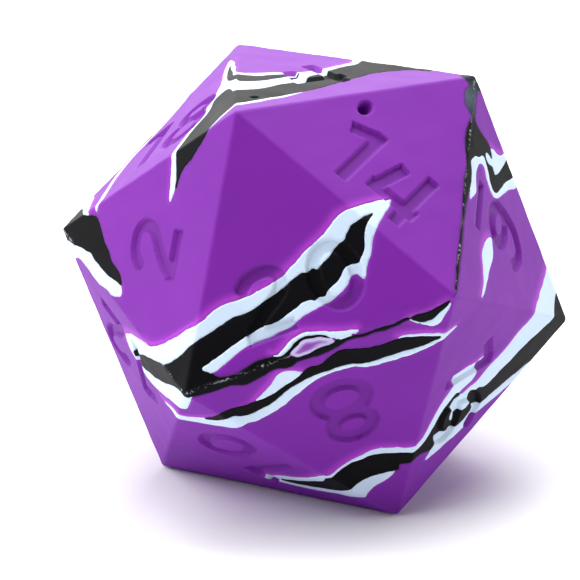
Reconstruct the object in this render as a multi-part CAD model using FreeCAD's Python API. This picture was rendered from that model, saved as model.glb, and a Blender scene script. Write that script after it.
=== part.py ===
import FreeCAD, Part
import math
import os
from FreeCAD import Vector

os.makedirs("parts", exist_ok=True)

# Driving dimensions, millimetres
ACROSS_FLATS = 60.0        # between two opposite faces
EDGE_RADIUS = 0.9          # rounding of every edge and corner
NUMERAL_DEPTH = 0.6        # numerals are sunk into the faces
NUMERAL_HEIGHT = 11.4
STROKE = 2.1               # width of a numeral's stroke
BLACK_DEPTH_RADIUS = 24.0  # black rubber ends this far from the die's centre
WHITE_DEPTH_RADIUS = 18.0  # white rubber wraps under the black, down to here
CAP_DEPTH_RADIUS = 14.0    # the cap preform ends here, on the base preform's core
BLISTER_DEPTH_RADIUS = 29.0
REACH = 110.0              # cutting wedges run out to here, well outside the die
PIT_RADIUS = 1.1           # air-bubble pit on the 14 face
CRUMB = 0.6                # mm3; scraps under this join the purple rubber

GOLDEN = (1 + math.sqrt(5)) / 2
EDGE = ACROSS_FLATS * math.sqrt(3) / GOLDEN ** 2

# The twelve corners. A is at the middle of the cap; a, b ... are opposite A, B ...
UNIT_CORNERS = {
    "A": (0, 1, GOLDEN), "B": (0, -1, GOLDEN), "C": (GOLDEN, 0, 1),
    "D": (1, GOLDEN, 0), "E": (-GOLDEN, 0, 1), "F": (1, -GOLDEN, 0),
}

# numeral: corner at its top, corner at its left, corner at its right, middle of the numeral (x, y)
FACES = {
    1: ("a", "c", "b", 0.0, 1.0), 2: ("E", "B", "A", -0.6, 1.0), 3: ("F", "a", "e", 0.0, 1.0),
    4: ("f", "A", "D", 0.0, 1.0), 5: ("E", "f", "c", 0.0, 1.0), 6: ("e", "D", "C", -0.7, 1.6),
    7: ("d", "c", "a", 0.0, 1.0), 8: ("F", "C", "B", 0.3, 1.2), 9: ("D", "e", "b", 0.0, 1.6),
    10: ("d", "F", "B", 0.0, -1.3), 11: ("D", "b", "f", 0.0, -1.5), 12: ("d", "B", "E", 1.2, -0.6),
    13: ("f", "b", "c", 0.0, -1.5), 14: ("D", "A", "C", 0.0, -2.7), 15: ("E", "c", "d", 0.0, -1.5),
    16: ("e", "C", "F", 0.8, -1.8), 17: ("F", "d", "a", 0.0, -1.5), 18: ("f", "E", "A", -1.5, -0.7),
    19: ("e", "a", "b", 0.0, -1.5), 20: ("A", "B", "C", 0.2, -3.0),
}

# Outlines of the coloured masses on the faces: (face, x, y), x to the numeral's right, y to its top,
# from the middle of the face
WHITE_OUTLINES = {
    "front": [
        (14, 4.0, -4.9), (14, 3.3, -6.4), (14, 2.2, -8.7), (14, 1.3, -10.9), (20, 9.0, 4.6),
        (20, 8.0, 4.2), (20, 6.6, 3.3), (20, 5.2, 2.5), (20, 3.8, 1.9), (20, 2.4, 1.3),
        (20, 1.1, 0.6), (20, -0.3, 0.0), (20, -1.6, -0.6), (20, -3.2, -1.1), (20, -5.2, -1.4),
        (20, -7.2, -1.7), (20, -10.0, -1.6), (20, -12.2, -2.0), (20, -14.4, -2.8),
        (2, -11.3, -9.0), (2, -12.9, -6.2), (2, -14.0, -3.4), (12, -7.4, -10.9), (12, -4.4, -9.4),
        (12, -1.6, -7.7), (12, 0.9, -5.7), (12, 1.3, -3.8), (12, 0.2, -1.9), (12, -4.0, -0.7),
        (12, -8.5, -1.7), (12, -12.4, -3.5), (12, -15.2, -4.9), (10, 16.0, -6.2), (10, 16.9, -8.4),
        (10, 18.2, -10.6), (8, 18.6, -10.9), (20, -18.0, -10.6), (20, -16.6, -9.6),
        (20, -15.0, -9.9), (20, -12.8, -9.2), (20, -10.2, -8.3), (20, -7.6, -8.2),
        (20, -5.0, -7.9), (20, -2.6, -7.7), (20, -1.4, -7.1), (20, 0.0, -6.7), (20, 1.6, -6.4),
        (20, 3.6, -6.2), (20, 5.2, -5.7), (20, 6.5, -4.9), (20, 7.5, -3.9), (20, 8.3, -4.0),
        (20, 9.0, -5.0), (20, 9.9, -3.3), (20, 11.1, -1.7), (20, 12.1, 0.1), (14, 5.4, -10.8),
        (14, 4.9, -8.6), (14, 4.6, -6.4),
    ],
    "lower": [
        (16, -13.7, -8.8), (8, -16.0, -5.0), (8, -13.4, -4.5), (8, -9.5, -4.5), (8, -5.0, -5.0),
        (8, -2.8, -6.0), (8, 0.0, -6.2), (8, 3.0, -5.8), (8, 6.0, -4.5), (8, 9.0, -3.3),
        (8, 12.0, -2.7), (8, 14.3, -2.8), (10, 9.5, -9.4), (10, 10.6, -6.6), (10, 12.0, -3.8),
        (10, 13.1, -1.7), (12, -12.0, -0.9), (12, -8.6, -0.3), (12, -12.0, -1.7),
        (12, -13.9, -2.3), (10, 13.9, -3.6), (10, 13.2, -6.2), (10, 12.9, -9.6), (8, 14.6, -5.4),
        (8, 12.2, -5.6), (8, 10.6, -6.7), (8, 8.4, -8.0), (8, 6.5, -9.3), (8, 4.9, -9.0),
        (8, 3.2, -7.9), (8, 0.5, -7.4), (8, -2.5, -8.0), (8, -6.0, -6.8), (8, -10.0, -7.0),
        (8, -10.6, -8.1), (8, -13.1, -7.6), (8, -15.4, -6.6), (8, -16.7, -5.9),
    ],
    "right": [
        (16, 6.4, 11.4), (16, 7.1, 8.2), (16, 7.8, 5.2), (16, 8.1, 2.6), (16, 8.5, 0.9),
        (16, 9.3, 1.0), (16, 9.9, -0.6), (16, 10.5, -3.2), (16, 11.2, -5.8), (16, 11.3, -7.7),
        (16, 10.0, -7.2), (16, 9.0, -9.2), (8, -4.6, 13.1), (8, -2.9, 14.5), (8, -1.9, 15.2),
        (8, -0.6, 15.9), (8, 1.1, 16.2), (8, 2.5, 17.0), (10, -13.6, -10.6), (10, -13.2, -8.6),
        (10, -12.0, -6.4), (10, -10.6, -3.4), (10, -8.4, 0.0), (10, -5.8, 3.4), (10, -5.4, -0.6),
        (10, -6.6, -5.4), (10, -6.3, -9.6), (8, 5.4, 10.9), (8, 3.0, 10.1), (8, 0.5, 9.7),
        (8, -1.6, 9.8), (8, -3.6, 10.5), (8, -5.2, 11.4), (16, 6.5, -10.8), (16, 5.7, -9.9),
        (16, 4.1, -9.0), (16, 1.9, -7.9), (16, 0.1, -6.5), (16, -1.0, -5.4), (16, -2.3, -5.0),
        (16, -3.2, -3.8), (16, -3.4, -1.4), (16, -3.7, 0.9), (16, -2.2, 0.3), (16, -0.4, 0.0),
        (16, 0.4, -1.2), (16, 0.9, -2.9), (16, 2.0, -4.2), (16, 2.6, -3.6), (16, 2.0, -2.7),
        (16, 1.3, -1.0), (16, 1.1, 0.7), (16, 0.2, 2.3), (16, -0.9, 4.0), (16, -1.9, 6.2),
        (16, -3.1, 7.9), (16, -4.3, 9.4), (16, -5.1, 11.2), (6, 5.5, 12.4), (6, 3.0, 13.2),
        (6, 0.2, 14.0), (6, -2.4, 14.8), (9, -15.0, -4.0), (9, -12.0, -6.2), (9, -8.0, -9.0),
        (19, 7.4, 9.2), (19, 4.6, 4.4), (19, 2.6, -1.2), (19, 1.2, -5.4), (19, -0.8, -1.0),
        (19, -3.0, 5.2), (19, -5.4, 10.4), (3, 6.8, -10.4), (3, 9.6, -7.0), (3, 12.2, -3.2),
    ],
    "corner_d": [
        (6, -10.7, 3.6), (6, -8.4, 1.5), (6, -6.0, -0.5), (6, -4.4, -2.0), (6, -3.9, -3.4),
        (6, -5.3, -5.4), (6, -6.6, -6.6), (6, -6.0, -8.1), (6, -4.3, -8.7), (6, -2.4, -8.5),
        (6, -1.0, -8.2), (6, 0.4, -8.8), (6, 1.6, -9.8), (6, -0.5, -10.2), (6, -5.6, -10.7),
        (6, -9.0, -8.6), (6, -11.0, -5.4), (6, -11.7, -4.0), (6, -11.8, -3.0), (6, -12.6, -1.7),
        (9, -5.6, 11.8), (9, -2.0, 9.0), (9, 0.6, 4.8), (9, 0.0, 2.6), (9, -3.6, 3.6),
        (9, -7.6, 6.8),
    ],
    "drop_six": [
        (6, 3.3, -2.7), (6, 4.3, -3.9), (6, 6.2, -4.7), (6, 8.1, -4.9), (6, 10.0, -4.2),
        (6, 12.2, -3.7), (6, 15.0, -4.0), (6, 13.0, -3.1), (6, 10.3, -2.5), (6, 7.8, -2.1),
        (6, 6.2, -1.6), (6, 4.6, -2.0),
    ],
    "corner_c": [
        (8, -12.7, -10.3), (8, -13.1, -9.9), (8, -13.6, -9.3), (8, -14.3, -8.7), (8, -14.9, -8.2),
        (8, -15.5, -7.9), (8, -16.2, -7.9), (8, -16.9, -8.3), (8, -17.5, -8.9), (8, -18.1, -9.5),
        (8, -18.5, -10.0), (8, -18.9, -10.7), (8, -17.9, -10.7), (8, -17.0, -10.4),
        (8, -16.0, -10.2), (8, -15.0, -10.2), (8, -13.8, -10.4),
    ],
    "top": [
        (2, 6.1, -0.7), (2, 9.0, -0.1), (2, 11.9, 0.5), (18, 5.7, -9.8), (18, 6.1, -7.0),
        (18, 7.0, -4.4), (18, 7.0, -1.5), (18, 6.3, 1.8), (18, 6.0, 5.5), (18, 4.4, 9.5),
        (18, 2.6, 13.2), (18, 1.8, 16.6), (18, 4.2, 14.4), (18, 6.4, 11.2), (18, 8.2, 8.4),
        (4, -7.6, 6.8), (4, -5.6, 5.5), (4, -3.0, 4.4), (4, -1.4, 3.4), (4, 0.6, 3.0),
        (4, 3.0, 3.2), (4, 5.6, 3.9), (4, 8.6, 4.6), (11, 9.2, 4.6), (11, 6.0, 5.8),
        (11, 2.6, 7.8), (11, 0.8, 10.4), (11, 1.0, 14.0), (11, 1.8, 17.2), (4, 15.2, -5.0),
        (4, 14.0, -3.6), (4, 11.2, -2.4), (4, 7.8, -2.2), (4, 5.0, -2.9), (4, 1.0, -4.2),
        (4, -3.0, -5.6), (4, -6.4, -7.0), (4, -9.0, -8.0), (4, -13.0, -8.3), (4, -17.2, -8.7),
        (18, 16.6, -9.2), (18, 15.0, -10.4), (2, 15.4, -5.2), (2, 12.0, -2.8), (2, 9.4, -1.4),
        (2, 7.6, -1.3),
    ],
    "corner_e": [
        (2, 2.5, 17.0), (2, -1.0, 14.0), (2, -4.0, 11.0), (2, -5.4, 8.6), (2, -6.2, 7.2),
        (2, -7.4, 6.5), (2, -8.1, 6.6), (2, -8.3, 7.6), (2, -8.0, 8.8), (2, -7.4, 10.0),
        (12, 6.8, -10.4), (12, 8.5, -9.8), (12, 10.3, -9.8), (12, 12.6, -10.0), (12, 14.8, -9.6),
        (15, 1.6, 17.6), (15, -2.0, 16.7), (5, 2.6, 16.4), (5, -2.0, 15.9), (18, -15.7, -6.2),
        (18, -14.8, -8.6), (18, -13.9, -10.8),
    ],
    "stripe": [
        (2, 3.0, 15.4), (18, -12.0, -10.6), (18, -12.4, -7.4), (18, -12.9, -4.0),
        (18, -12.5, -0.8), (18, -10.6, 3.6), (18, -8.3, 7.6), (18, -5.6, 12.4), (18, -7.2, 7.4),
        (18, -9.6, 3.0), (18, -11.3, -0.6), (18, -11.7, -4.0), (18, -11.2, -7.6),
        (18, -10.8, -10.4),
    ],
    "lip": [
        (20, -6.6, -10.5), (20, -5.9, -10.7), (20, -5.2, -10.4), (20, -4.3, -9.9),
        (20, -3.5, -9.4), (20, -2.6, -9.1), (20, -1.6, -9.0), (20, -0.8, -9.1), (20, 0.2, -9.4),
        (20, 1.2, -9.7), (20, 2.1, -10.1), (20, 3.2, -10.5), (20, 4.6, -10.9), (20, 6.0, -11.2),
        (8, -5.4, -11.3), (8, -3.8, -11.1), (20, 2.4, -11.3), (20, 1.6, -10.9), (20, 0.5, -10.4),
        (20, -0.6, -10.1), (20, -1.6, -10.0), (20, -2.6, -10.1), (20, -3.4, -10.4),
        (20, -4.2, -10.9), (20, -5.0, -11.2), (20, -5.9, -11.2),
    ],
}

BLACK_OUTLINES = {
    "front": [
        (14, 3.8, -9.3), (14, 3.2, -10.9), (20, 10.0, 2.7), (20, 9.0, 1.9), (20, 8.1, 1.1),
        (20, 7.2, 0.9), (20, 6.2, 0.3), (20, 5.6, -0.3), (20, 4.6, -0.9), (20, 3.3, -1.5),
        (20, 2.7, -1.1), (20, 1.9, -1.4), (20, 0.9, -1.2), (20, -0.6, -1.7), (20, -2.6, -2.4),
        (20, -4.8, -2.9), (20, -6.4, -3.4), (20, -8.2, -3.8), (20, -10.4, -3.8), (20, -13.0, -4.4),
        (20, -15.5, -5.0), (2, -13.4, -10.6), (2, -15.2, -8.4), (2, -16.2, -6.4),
        (12, -11.6, -10.7), (12, -8.6, -8.7), (12, -5.6, -6.8), (12, -3.2, -4.9), (12, -1.8, -4.4),
        (12, -0.3, -2.5), (12, -2.6, -2.2), (12, -4.6, -2.7), (12, -8.0, -4.3), (12, -11.5, -6.4),
        (12, -15.0, -8.9), (12, -17.8, -10.5), (10, 19.0, -10.9), (8, 18.4, -10.6),
        (8, 16.0, -10.3), (8, 13.4, -10.2), (8, 11.4, -9.5), (8, 9.2, -9.8), (8, 7.0, -10.3),
        (8, 5.6, -9.8), (8, 4.6, -9.8), (8, 3.8, -10.2), (8, 2.6, -10.2), (8, 1.6, -10.1),
        (8, 0.4, -9.9), (8, -1.2, -10.0), (8, -2.6, -10.4), (8, -4.2, -10.7), (8, -6.0, -10.3),
        (8, -7.6, -10.4), (8, -9.2, -10.1), (8, -10.8, -10.1), (8, -12.2, -10.4),
        (8, -13.1, -10.4), (8, -12.4, -10.8), (8, -10.6, -10.7), (8, -8.6, -10.9),
        (8, -6.6, -10.8), (8, -4.6, -11.2), (8, -2.9, -11.2), (20, 2.0, -11.0), (20, 1.4, -10.4),
        (20, 0.6, -10.0), (20, -0.5, -9.7), (20, -1.4, -9.5), (20, -2.3, -9.6), (20, -3.2, -9.9),
        (20, -3.9, -10.4), (20, -4.7, -10.8), (20, -5.5, -11.0), (20, -6.2, -10.8),
        (20, -7.2, -10.5), (20, -8.6, -10.5), (20, -9.8, -10.7), (20, -11.1, -11.0),
        (20, -12.4, -11.1), (20, -13.6, -11.0), (20, -14.6, -10.7), (20, -15.5, -9.8),
        (20, -16.4, -8.9), (20, -14.2, -8.3), (20, -11.0, -7.3), (20, -8.6, -6.7),
        (20, -6.4, -6.4), (20, -4.4, -6.4), (20, -2.4, -5.8), (20, -0.4, -5.2), (20, 0.9, -5.2),
        (20, 1.6, -5.5), (20, 2.1, -5.2), (20, 3.0, -5.3), (20, 3.5, -4.7), (20, 4.7, -4.2),
        (20, 5.7, -3.7), (20, 6.6, -2.8), (20, 7.6, -2.4), (20, 9.0, -2.4), (20, 10.4, -1.0),
        (20, 10.9, 0.6), (20, 11.7, 1.9),
    ],
    "lower": [
        (8, -15.9, -5.5), (8, -13.5, -5.2), (8, -10.0, -5.5), (8, -6.0, -5.6), (8, -4.2, -5.9),
        (8, -2.5, -6.7), (8, 0.5, -6.7), (8, 4.0, -6.7), (8, 6.5, -6.0), (8, 9.0, -4.9),
        (8, 11.5, -4.3), (8, 13.6, -4.3), (8, 15.2, -4.9), (10, 12.1, -10.2), (10, 12.0, -8.6),
        (10, 12.8, -6.6), (10, 13.2, -9.0), (8, 15.6, -6.3), (8, 12.5, -6.0), (8, 9.0, -6.3),
        (8, 6.5, -6.9), (8, 4.6, -7.5), (8, 3.0, -8.4), (8, 0.8, -8.4), (8, -1.0, -9.2),
        (8, -3.0, -9.4), (8, -5.2, -8.4), (8, -7.5, -7.9), (8, -10.5, -7.8), (8, -13.2, -7.0),
        (8, -15.0, -6.2),
    ],
    "right": [
        (16, -2.0, 17.2), (16, -1.2, 14.6), (16, 0.0, 11.4), (16, 1.3, 8.5), (16, 2.3, 6.3),
        (16, 3.1, 4.4), (16, 3.0, 3.0), (16, 2.7, 1.9), (16, 3.5, 0.6), (16, 4.8, 0.5),
        (16, 5.5, -0.6), (16, 5.3, -2.0), (16, 6.0, -3.3), (16, 5.4, -4.0), (16, 4.0, -3.8),
        (16, 2.5, -3.1), (16, 1.3, -3.2), (16, 0.9, -4.1), (16, 1.6, -5.3), (16, 3.1, -6.8),
        (16, 5.4, -8.0), (16, 7.0, -9.2), (16, 7.8, -10.6), (8, -4.8, 12.2), (8, -3.0, 11.4),
        (8, -1.5, 10.7), (8, 0.0, 10.4), (8, 3.0, 10.6), (8, 5.2, 11.3), (10, -7.2, -10.4),
        (10, -8.0, -7.8), (10, -7.6, -4.0), (10, -6.6, 0.6), (10, -8.8, -2.4), (10, -10.6, -6.4),
        (10, -11.3, -9.2), (8, 4.0, 15.0), (8, 1.0, 14.2), (8, -1.0, 14.4), (8, -2.9, 14.8),
        (8, -3.5, 13.9), (16, 9.5, -10.4), (16, 9.5, -8.8), (16, 9.9, -7.2), (16, 9.3, -6.4),
        (16, 8.2, -6.4), (16, 7.9, -5.4), (16, 8.0, -3.4), (16, 8.1, -1.4), (16, 7.8, 0.1),
        (16, 6.9, 1.2), (16, 6.1, 2.3), (16, 6.3, 3.4), (16, 6.0, 5.2), (16, 5.3, 8.5),
        (16, 4.6, 12.0), (16, 4.2, 14.8), (3, 14.4, -6.0), (3, 12.0, -9.4), (19, -3.4, 13.0),
        (19, -1.6, 9.0), (19, 0.4, 4.4), (19, 2.0, 8.4), (19, 3.8, 12.2), (9, -12.6, -9.6),
        (9, -15.8, -7.6), (6, -1.6, 18.6), (6, 0.6, 18.5),
    ],
    "corner_d": [
        (6, -11.3, 2.2), (6, -9.0, 0.4), (6, -6.6, -1.2), (6, -4.9, -2.7), (6, -5.5, -4.3),
        (6, -7.0, -5.4), (6, -8.2, -6.4), (6, -8.2, -7.3), (6, -7.1, -8.2), (6, -6.4, -9.5),
        (6, -4.8, -10.5), (6, -3.4, -10.1), (6, -1.6, -9.9), (6, 0.2, -10.2), (6, 1.8, -10.5),
        (6, 4.2, -10.8), (6, 8.4, -10.8), (6, 12.4, -11.0), (6, 16.4, -11.0), (6, 18.8, -11.1),
        (14, 19.4, -10.9), (14, 16.5, -6.0), (14, 13.6, -0.9), (14, 10.8, 3.9), (14, 9.2, 6.6),
        (14, 8.2, 8.4), (14, 7.4, 9.5), (14, 6.4, 10.9), (14, 5.0, 12.9), (14, 4.3, 14.6),
        (14, 3.9, 16.0), (14, 3.0, 16.7), (14, 2.1, 17.2), (14, 1.3, 18.1), (14, 0.6, 19.4),
        (14, 0.3, 20.8), (4, 17.9, -10.9), (11, 0.6, 20.2), (9, 0.6, 20.6), (9, -0.8, 19.8),
        (6, -17.6, -10.4), (6, -14.5, -10.7), (6, -12.2, -10.2), (6, -11.6, -7.9),
        (6, -11.3, -5.4), (6, -9.7, -4.4), (6, -9.8, -6.0), (6, -8.9, -6.4), (6, -8.1, -5.4),
        (6, -8.5, -4.1), (6, -7.8, -3.1), (6, -9.0, -2.0), (6, -11.0, -1.0), (6, -12.6, -0.1),
        (9, -5.8, 10.4), (9, -3.4, 8.0), (9, -1.2, 4.6), (9, -3.8, 5.4), (9, -7.0, 8.2),
    ],
    "corner_c": [
        (8, -12.9, -10.5), (8, -13.4, -9.9), (8, -14.0, -9.3), (8, -14.8, -9.0), (8, -15.6, -9.0),
        (8, -16.3, -9.3), (8, -17.0, -9.7), (8, -17.8, -10.1), (8, -18.5, -10.6),
        (8, -18.8, -11.0), (8, -17.6, -10.8), (8, -16.6, -10.7), (8, -15.5, -10.6),
        (8, -14.3, -10.7),
    ],
    "top": [
        (2, 8.0, -1.5), (2, 10.2, -1.1), (2, 12.6, -0.3), (18, 7.0, -9.5), (18, 7.4, -6.5),
        (18, 8.5, -3.6), (18, 8.2, -0.8), (18, 7.6, 1.4), (18, 9.2, 2.4), (18, 11.0, 1.4),
        (18, 12.8, -0.6), (4, -13.0, -1.6), (4, -10.4, -2.1), (4, -7.4, -1.6), (4, -5.2, -1.6),
        (4, -2.6, -1.0), (4, -0.7, 0.3), (4, 0.7, 0.9), (4, 3.2, 1.8), (4, 5.6, 2.7),
        (4, 9.0, 3.4), (11, 8.0, 6.0), (11, 5.2, 7.6), (11, 2.6, 9.6), (11, 2.0, 12.8),
        (11, 2.8, 16.0), (4, 15.6, -5.9), (4, 13.9, -4.0), (4, 11.1, -3.0), (4, 7.8, -2.8),
        (4, 5.0, -3.6), (4, 1.0, -4.9), (4, -3.0, -6.2), (4, -8.0, -7.2), (4, -12.0, -7.4),
        (4, -16.4, -7.6), (18, 16.6, -8.2), (18, 15.0, -9.4), (18, 14.0, -10.8), (2, 16.0, -6.0),
        (2, 13.0, -4.0), (2, 10.5, -2.2),
    ],
    "crown": [
        (4, -10.9, 3.0), (4, -8.5, 1.8), (4, -4.5, 1.8), (4, -1.0, 2.6), (4, -4.5, 3.6),
        (4, -7.4, 4.6), (18, 8.6, 7.2), (18, 6.8, 9.4), (18, 4.8, 12.2), (18, 3.2, 14.8),
        (18, 5.0, 10.2), (18, 7.6, 6.4), (18, 10.4, 4.6),
    ],
    "corner_e": [
        (2, 2.5, 17.8), (2, 2.7, 15.6), (2, 1.6, 14.2), (2, -0.6, 12.6), (2, -2.2, 10.9),
        (2, -3.5, 9.6), (2, -4.7, 7.9), (2, -5.9, 7.0), (2, -6.6, 6.9), (2, -6.1, 7.9),
        (2, -5.8, 9.2), (2, -5.2, 10.8), (2, -4.4, 12.6), (2, -3.4, 14.3), (2, -2.7, 15.2),
        (2, -2.4, 16.8), (12, 18.2, -10.4), (15, 1.2, 20.4), (15, -1.0, 19.6), (5, 1.5, 18.8),
        (5, -1.4, 18.2), (18, -17.0, -8.4), (18, -16.0, -9.8), (18, -15.2, -11.0),
    ],
}

BLISTER_OUTLINES = {
    "blister": [
        (20, -4.2, -11.2), (20, -3.8, -10.8), (20, -3.0, -10.4), (20, -2.2, -10.0),
        (20, -1.4, -9.9), (20, -0.6, -10.1), (20, 0.5, -10.3), (20, 1.5, -10.8), (20, 2.2, -11.2),
        (8, -2.2, -11.2), (8, -1.2, -11.0), (8, 0.0, -11.1), (8, 1.4, -10.8), (8, 2.5, -10.8),
        (8, 3.4, -10.9),
    ],
}

# Veins as centre lines: (face, x, y, half width of the white, half width of the black)
BANDS = {
    "back": [
        (11, -3.0, -2.0, 0.3, 0.0), (11, 0.0, -5.5, 2.2, 1.0), (11, 3.5, -9.5, 3.0, 1.7),
        (13, -4.5, 7.0, 3.2, 1.9), (13, 0.0, 2.2, 3.0, 1.6), (13, 5.0, -1.2, 2.6, 1.4),
        (13, 10.5, -3.5, 2.4, 1.3), (5, 12.4, -9.0, 2.2, 1.1), (5, 13.0, -5.5, 1.4, 0.5),
        (5, 12.0, -2.4, 0.3, 0.0),
    ],
    "heel": [
        (15, 7.6, -2.6, 0.3, 0.0), (15, 4.6, -5.4, 1.6, 0.6), (15, 0.5, -8.6, 2.4, 1.2),
        (7, -8.0, 4.4, 2.6, 1.4), (7, -4.4, 0.6, 2.8, 1.6), (7, 0.5, -2.4, 2.8, 1.6),
        (7, 6.0, -4.6, 3.2, 2.0), (7, 11.0, -8.0, 2.8, 1.6), (1, -5.4, 12.4, 2.2, 1.0),
        (1, -2.4, 10.0, 1.4, 0.5), (1, 1.0, 9.4, 0.3, 0.0),
    ],
}

# Numerals as strokes on a box 0..1 wide and 0..1 high: ("bar", x0, y0, x1, y1) from middle of end to
# middle of end, ("ring", x, y, rx, ry) to the middle of the stroke, and ("curve", points)
DIGITS = {
    0: (7.8, [("ring", 0.5, 0.5, 0.375, 0.395)]),
    1: (5.4, [("bar", 0.79, 0.0, 0.79, 0.97), ("bar", 0.03, 0.74, 0.75, 0.88)]),
    2: (7.6, [("curve", [(0.15, 0.72), (0.31, 0.82), (0.51, 0.865), (0.72, 0.86), (0.88, 0.78), (0.9, 0.66),
                         (0.82, 0.55), (0.67, 0.46), (0.48, 0.375), (0.30, 0.28), (0.17, 0.18),
                         (0.11, 0.06)]),
              ("bar", -0.05, 0.075, 0.92, 0.075)]),
    3: (7.6, [("curve", [(0.08, 0.8), (0.3, 0.89), (0.62, 0.88), (0.82, 0.72), (0.66, 0.56), (0.36, 0.53)]),
              ("curve", [(0.36, 0.53), (0.72, 0.48), (0.85, 0.28), (0.66, 0.12), (0.36, 0.1),
                         (0.06, 0.22)])]),
    4: (8.4, [("bar", 0.25, 0.8, 0.06, 0.22), ("bar", -0.06, 0.276, 0.94, 0.276),
              ("bar", 0.73, -0.01, 0.73, 0.94)]),
    5: (7.6, [("bar", 0.16, 0.9, 0.92, 0.9), ("bar", 0.22, 0.98, 0.2, 0.5),
              ("curve", [(0.2, 0.55), (0.5, 0.62), (0.8, 0.5), (0.84, 0.28), (0.62, 0.12), (0.34, 0.1),
                         (0.06, 0.2)])]),
    6: (8.4, [("ring", 0.54, 0.28, 0.35, 0.18), ("curve", [(0.94, 0.78), (0.62, 0.885), (0.33, 0.77),
                                                           (0.2, 0.54), (0.19, 0.28)])]),
    7: (7.6, [("bar", 0.04, 0.9, 0.98, 0.9), ("bar", 0.84, 0.86, 0.34, 0.0)]),
    8: (8.8, [("ring", 0.5, 0.297, 0.405, 0.23), ("ring", 0.5, 0.735, 0.325, 0.182)]),
    9: (8.4, [("ring", 0.46, 0.72, 0.35, 0.18), ("curve", [(0.06, 0.22), (0.38, 0.115), (0.67, 0.23),
                                                           (0.8, 0.46), (0.81, 0.72)])]),
}
DIGIT_PITCH = 9.3
NUMERAL_SIZES = {20: (10.4, 10.4)}   # height and pitch, where a numeral isn't the usual size
UNDERLINE = (8.4, 1.6, 1.3, -8.5)    # under the 6 and the 9: width, stroke, middle from the digit's (x, y)


def corner_positions():
    """The twelve corners, standing on the face opposite the 4, with the 20 towards -Y."""
    unit = {name: Vector(*xyz) * (EDGE / 2) for name, xyz in UNIT_CORNERS.items()}
    for name in list(unit):
        unit[name.lower()] = unit[name] * -1
    up = (unit["A"] + unit["D"] + unit["f"]).normalize()
    front = unit["A"] + unit["B"] + unit["C"]
    front = (front - up * front.dot(up)).normalize()
    right = up.cross(front)
    return {name: Vector(p.dot(right), -p.dot(front), p.dot(up)) for name, p in unit.items()}


CORNERS = corner_positions()


def face_frame(number):
    """Middle of a face and its right, up and outward directions, from the die's centre."""
    top, left, right = (CORNERS[name] for name in FACES[number][:3])
    middle = (top + left + right) * (1 / 3)
    up = (top - middle).normalize()
    out = Vector(middle).normalize()
    return middle, up.cross(out), up, out


FRAMES = {number: face_frame(number) for number in FACES}


def on_face(number, x, y, lift=0.0):
    middle, right, up, out = FRAMES[number]
    return middle + right * x + up * y + out * lift


def polygon(points):
    return Part.Face(Part.makePolygon(points + [points[0]]))


def rounded_icosahedron():
    """Sharp icosahedron, drawn in by the edge radius, then grown back with rounded edges."""
    inset = 1 - 2 * EDGE_RADIUS / ACROSS_FLATS
    faces = [polygon([CORNERS[name] * inset for name in FACES[n][:3]]) for n in FACES]
    sharp = Part.makeSolid(Part.makeShell(faces))
    grown = sharp.makeOffsetShape(EDGE_RADIUS, 0.01, join=0)
    return grown if grown.ShapeType == "Solid" else Part.makeSolid(grown.Shells[0])


def curve_edges(points):
    curve = Part.BSplineCurve()
    curve.interpolate(points)
    return curve


def ribbon(points, width):
    """A flat ribbon along a smooth curve, with square ends."""
    middle = curve_edges(points)
    first, last = middle.FirstParameter, middle.LastParameter
    sides = ([], [])
    steps = 3 * len(points)
    for i in range(steps + 1):
        at = first + (last - first) * i / steps
        along = middle.tangent(at)[0]
        across = Vector(-along.y, along.x, 0) * (width / 2)
        sides[0].append(middle.value(at) + across)
        sides[1].append(middle.value(at) - across)
    left, right = curve_edges(sides[0]), curve_edges(sides[1])
    ends = [Part.makeLine(sides[0][0], sides[1][0]), Part.makeLine(sides[0][-1], sides[1][-1])]
    return Part.Face(Part.Wire(Part.__sortEdges__([left.toShape(), right.toShape()] + ends)))


def ellipse_face(middle, rx, ry):
    edge = Part.Ellipse(middle, max(rx, ry), min(rx, ry)).toShape()
    if ry > rx:
        edge.rotate(middle, Vector(0, 0, 1), 90)
    return Part.Face(Part.Wire(edge))


def stroke_faces(digit, x_middle, y_middle, height):
    width, strokes = DIGITS[digit]
    half = STROKE / 2

    def place(x, y):
        return Vector(x_middle + (x - 0.5) * width, y_middle + (y - 0.5) * height, 0)

    for kind, *values in strokes:
        if kind == "bar":
            start, end = place(*values[:2]), place(*values[2:])
            along = (end - start).normalize()
            side = Vector(-along.y, along.x, 0) * half
            yield polygon([start + side, end + side, end - side, start - side])
        elif kind == "ring":
            middle = place(*values[:2])
            rx, ry = values[2] * width, values[3] * height
            outer = ellipse_face(middle, rx + half, ry + half)
            yield outer.cut(ellipse_face(middle, rx - half, ry - half))
        else:
            yield ribbon([place(x, y) for x, y in values[0]], STROKE)


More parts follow.
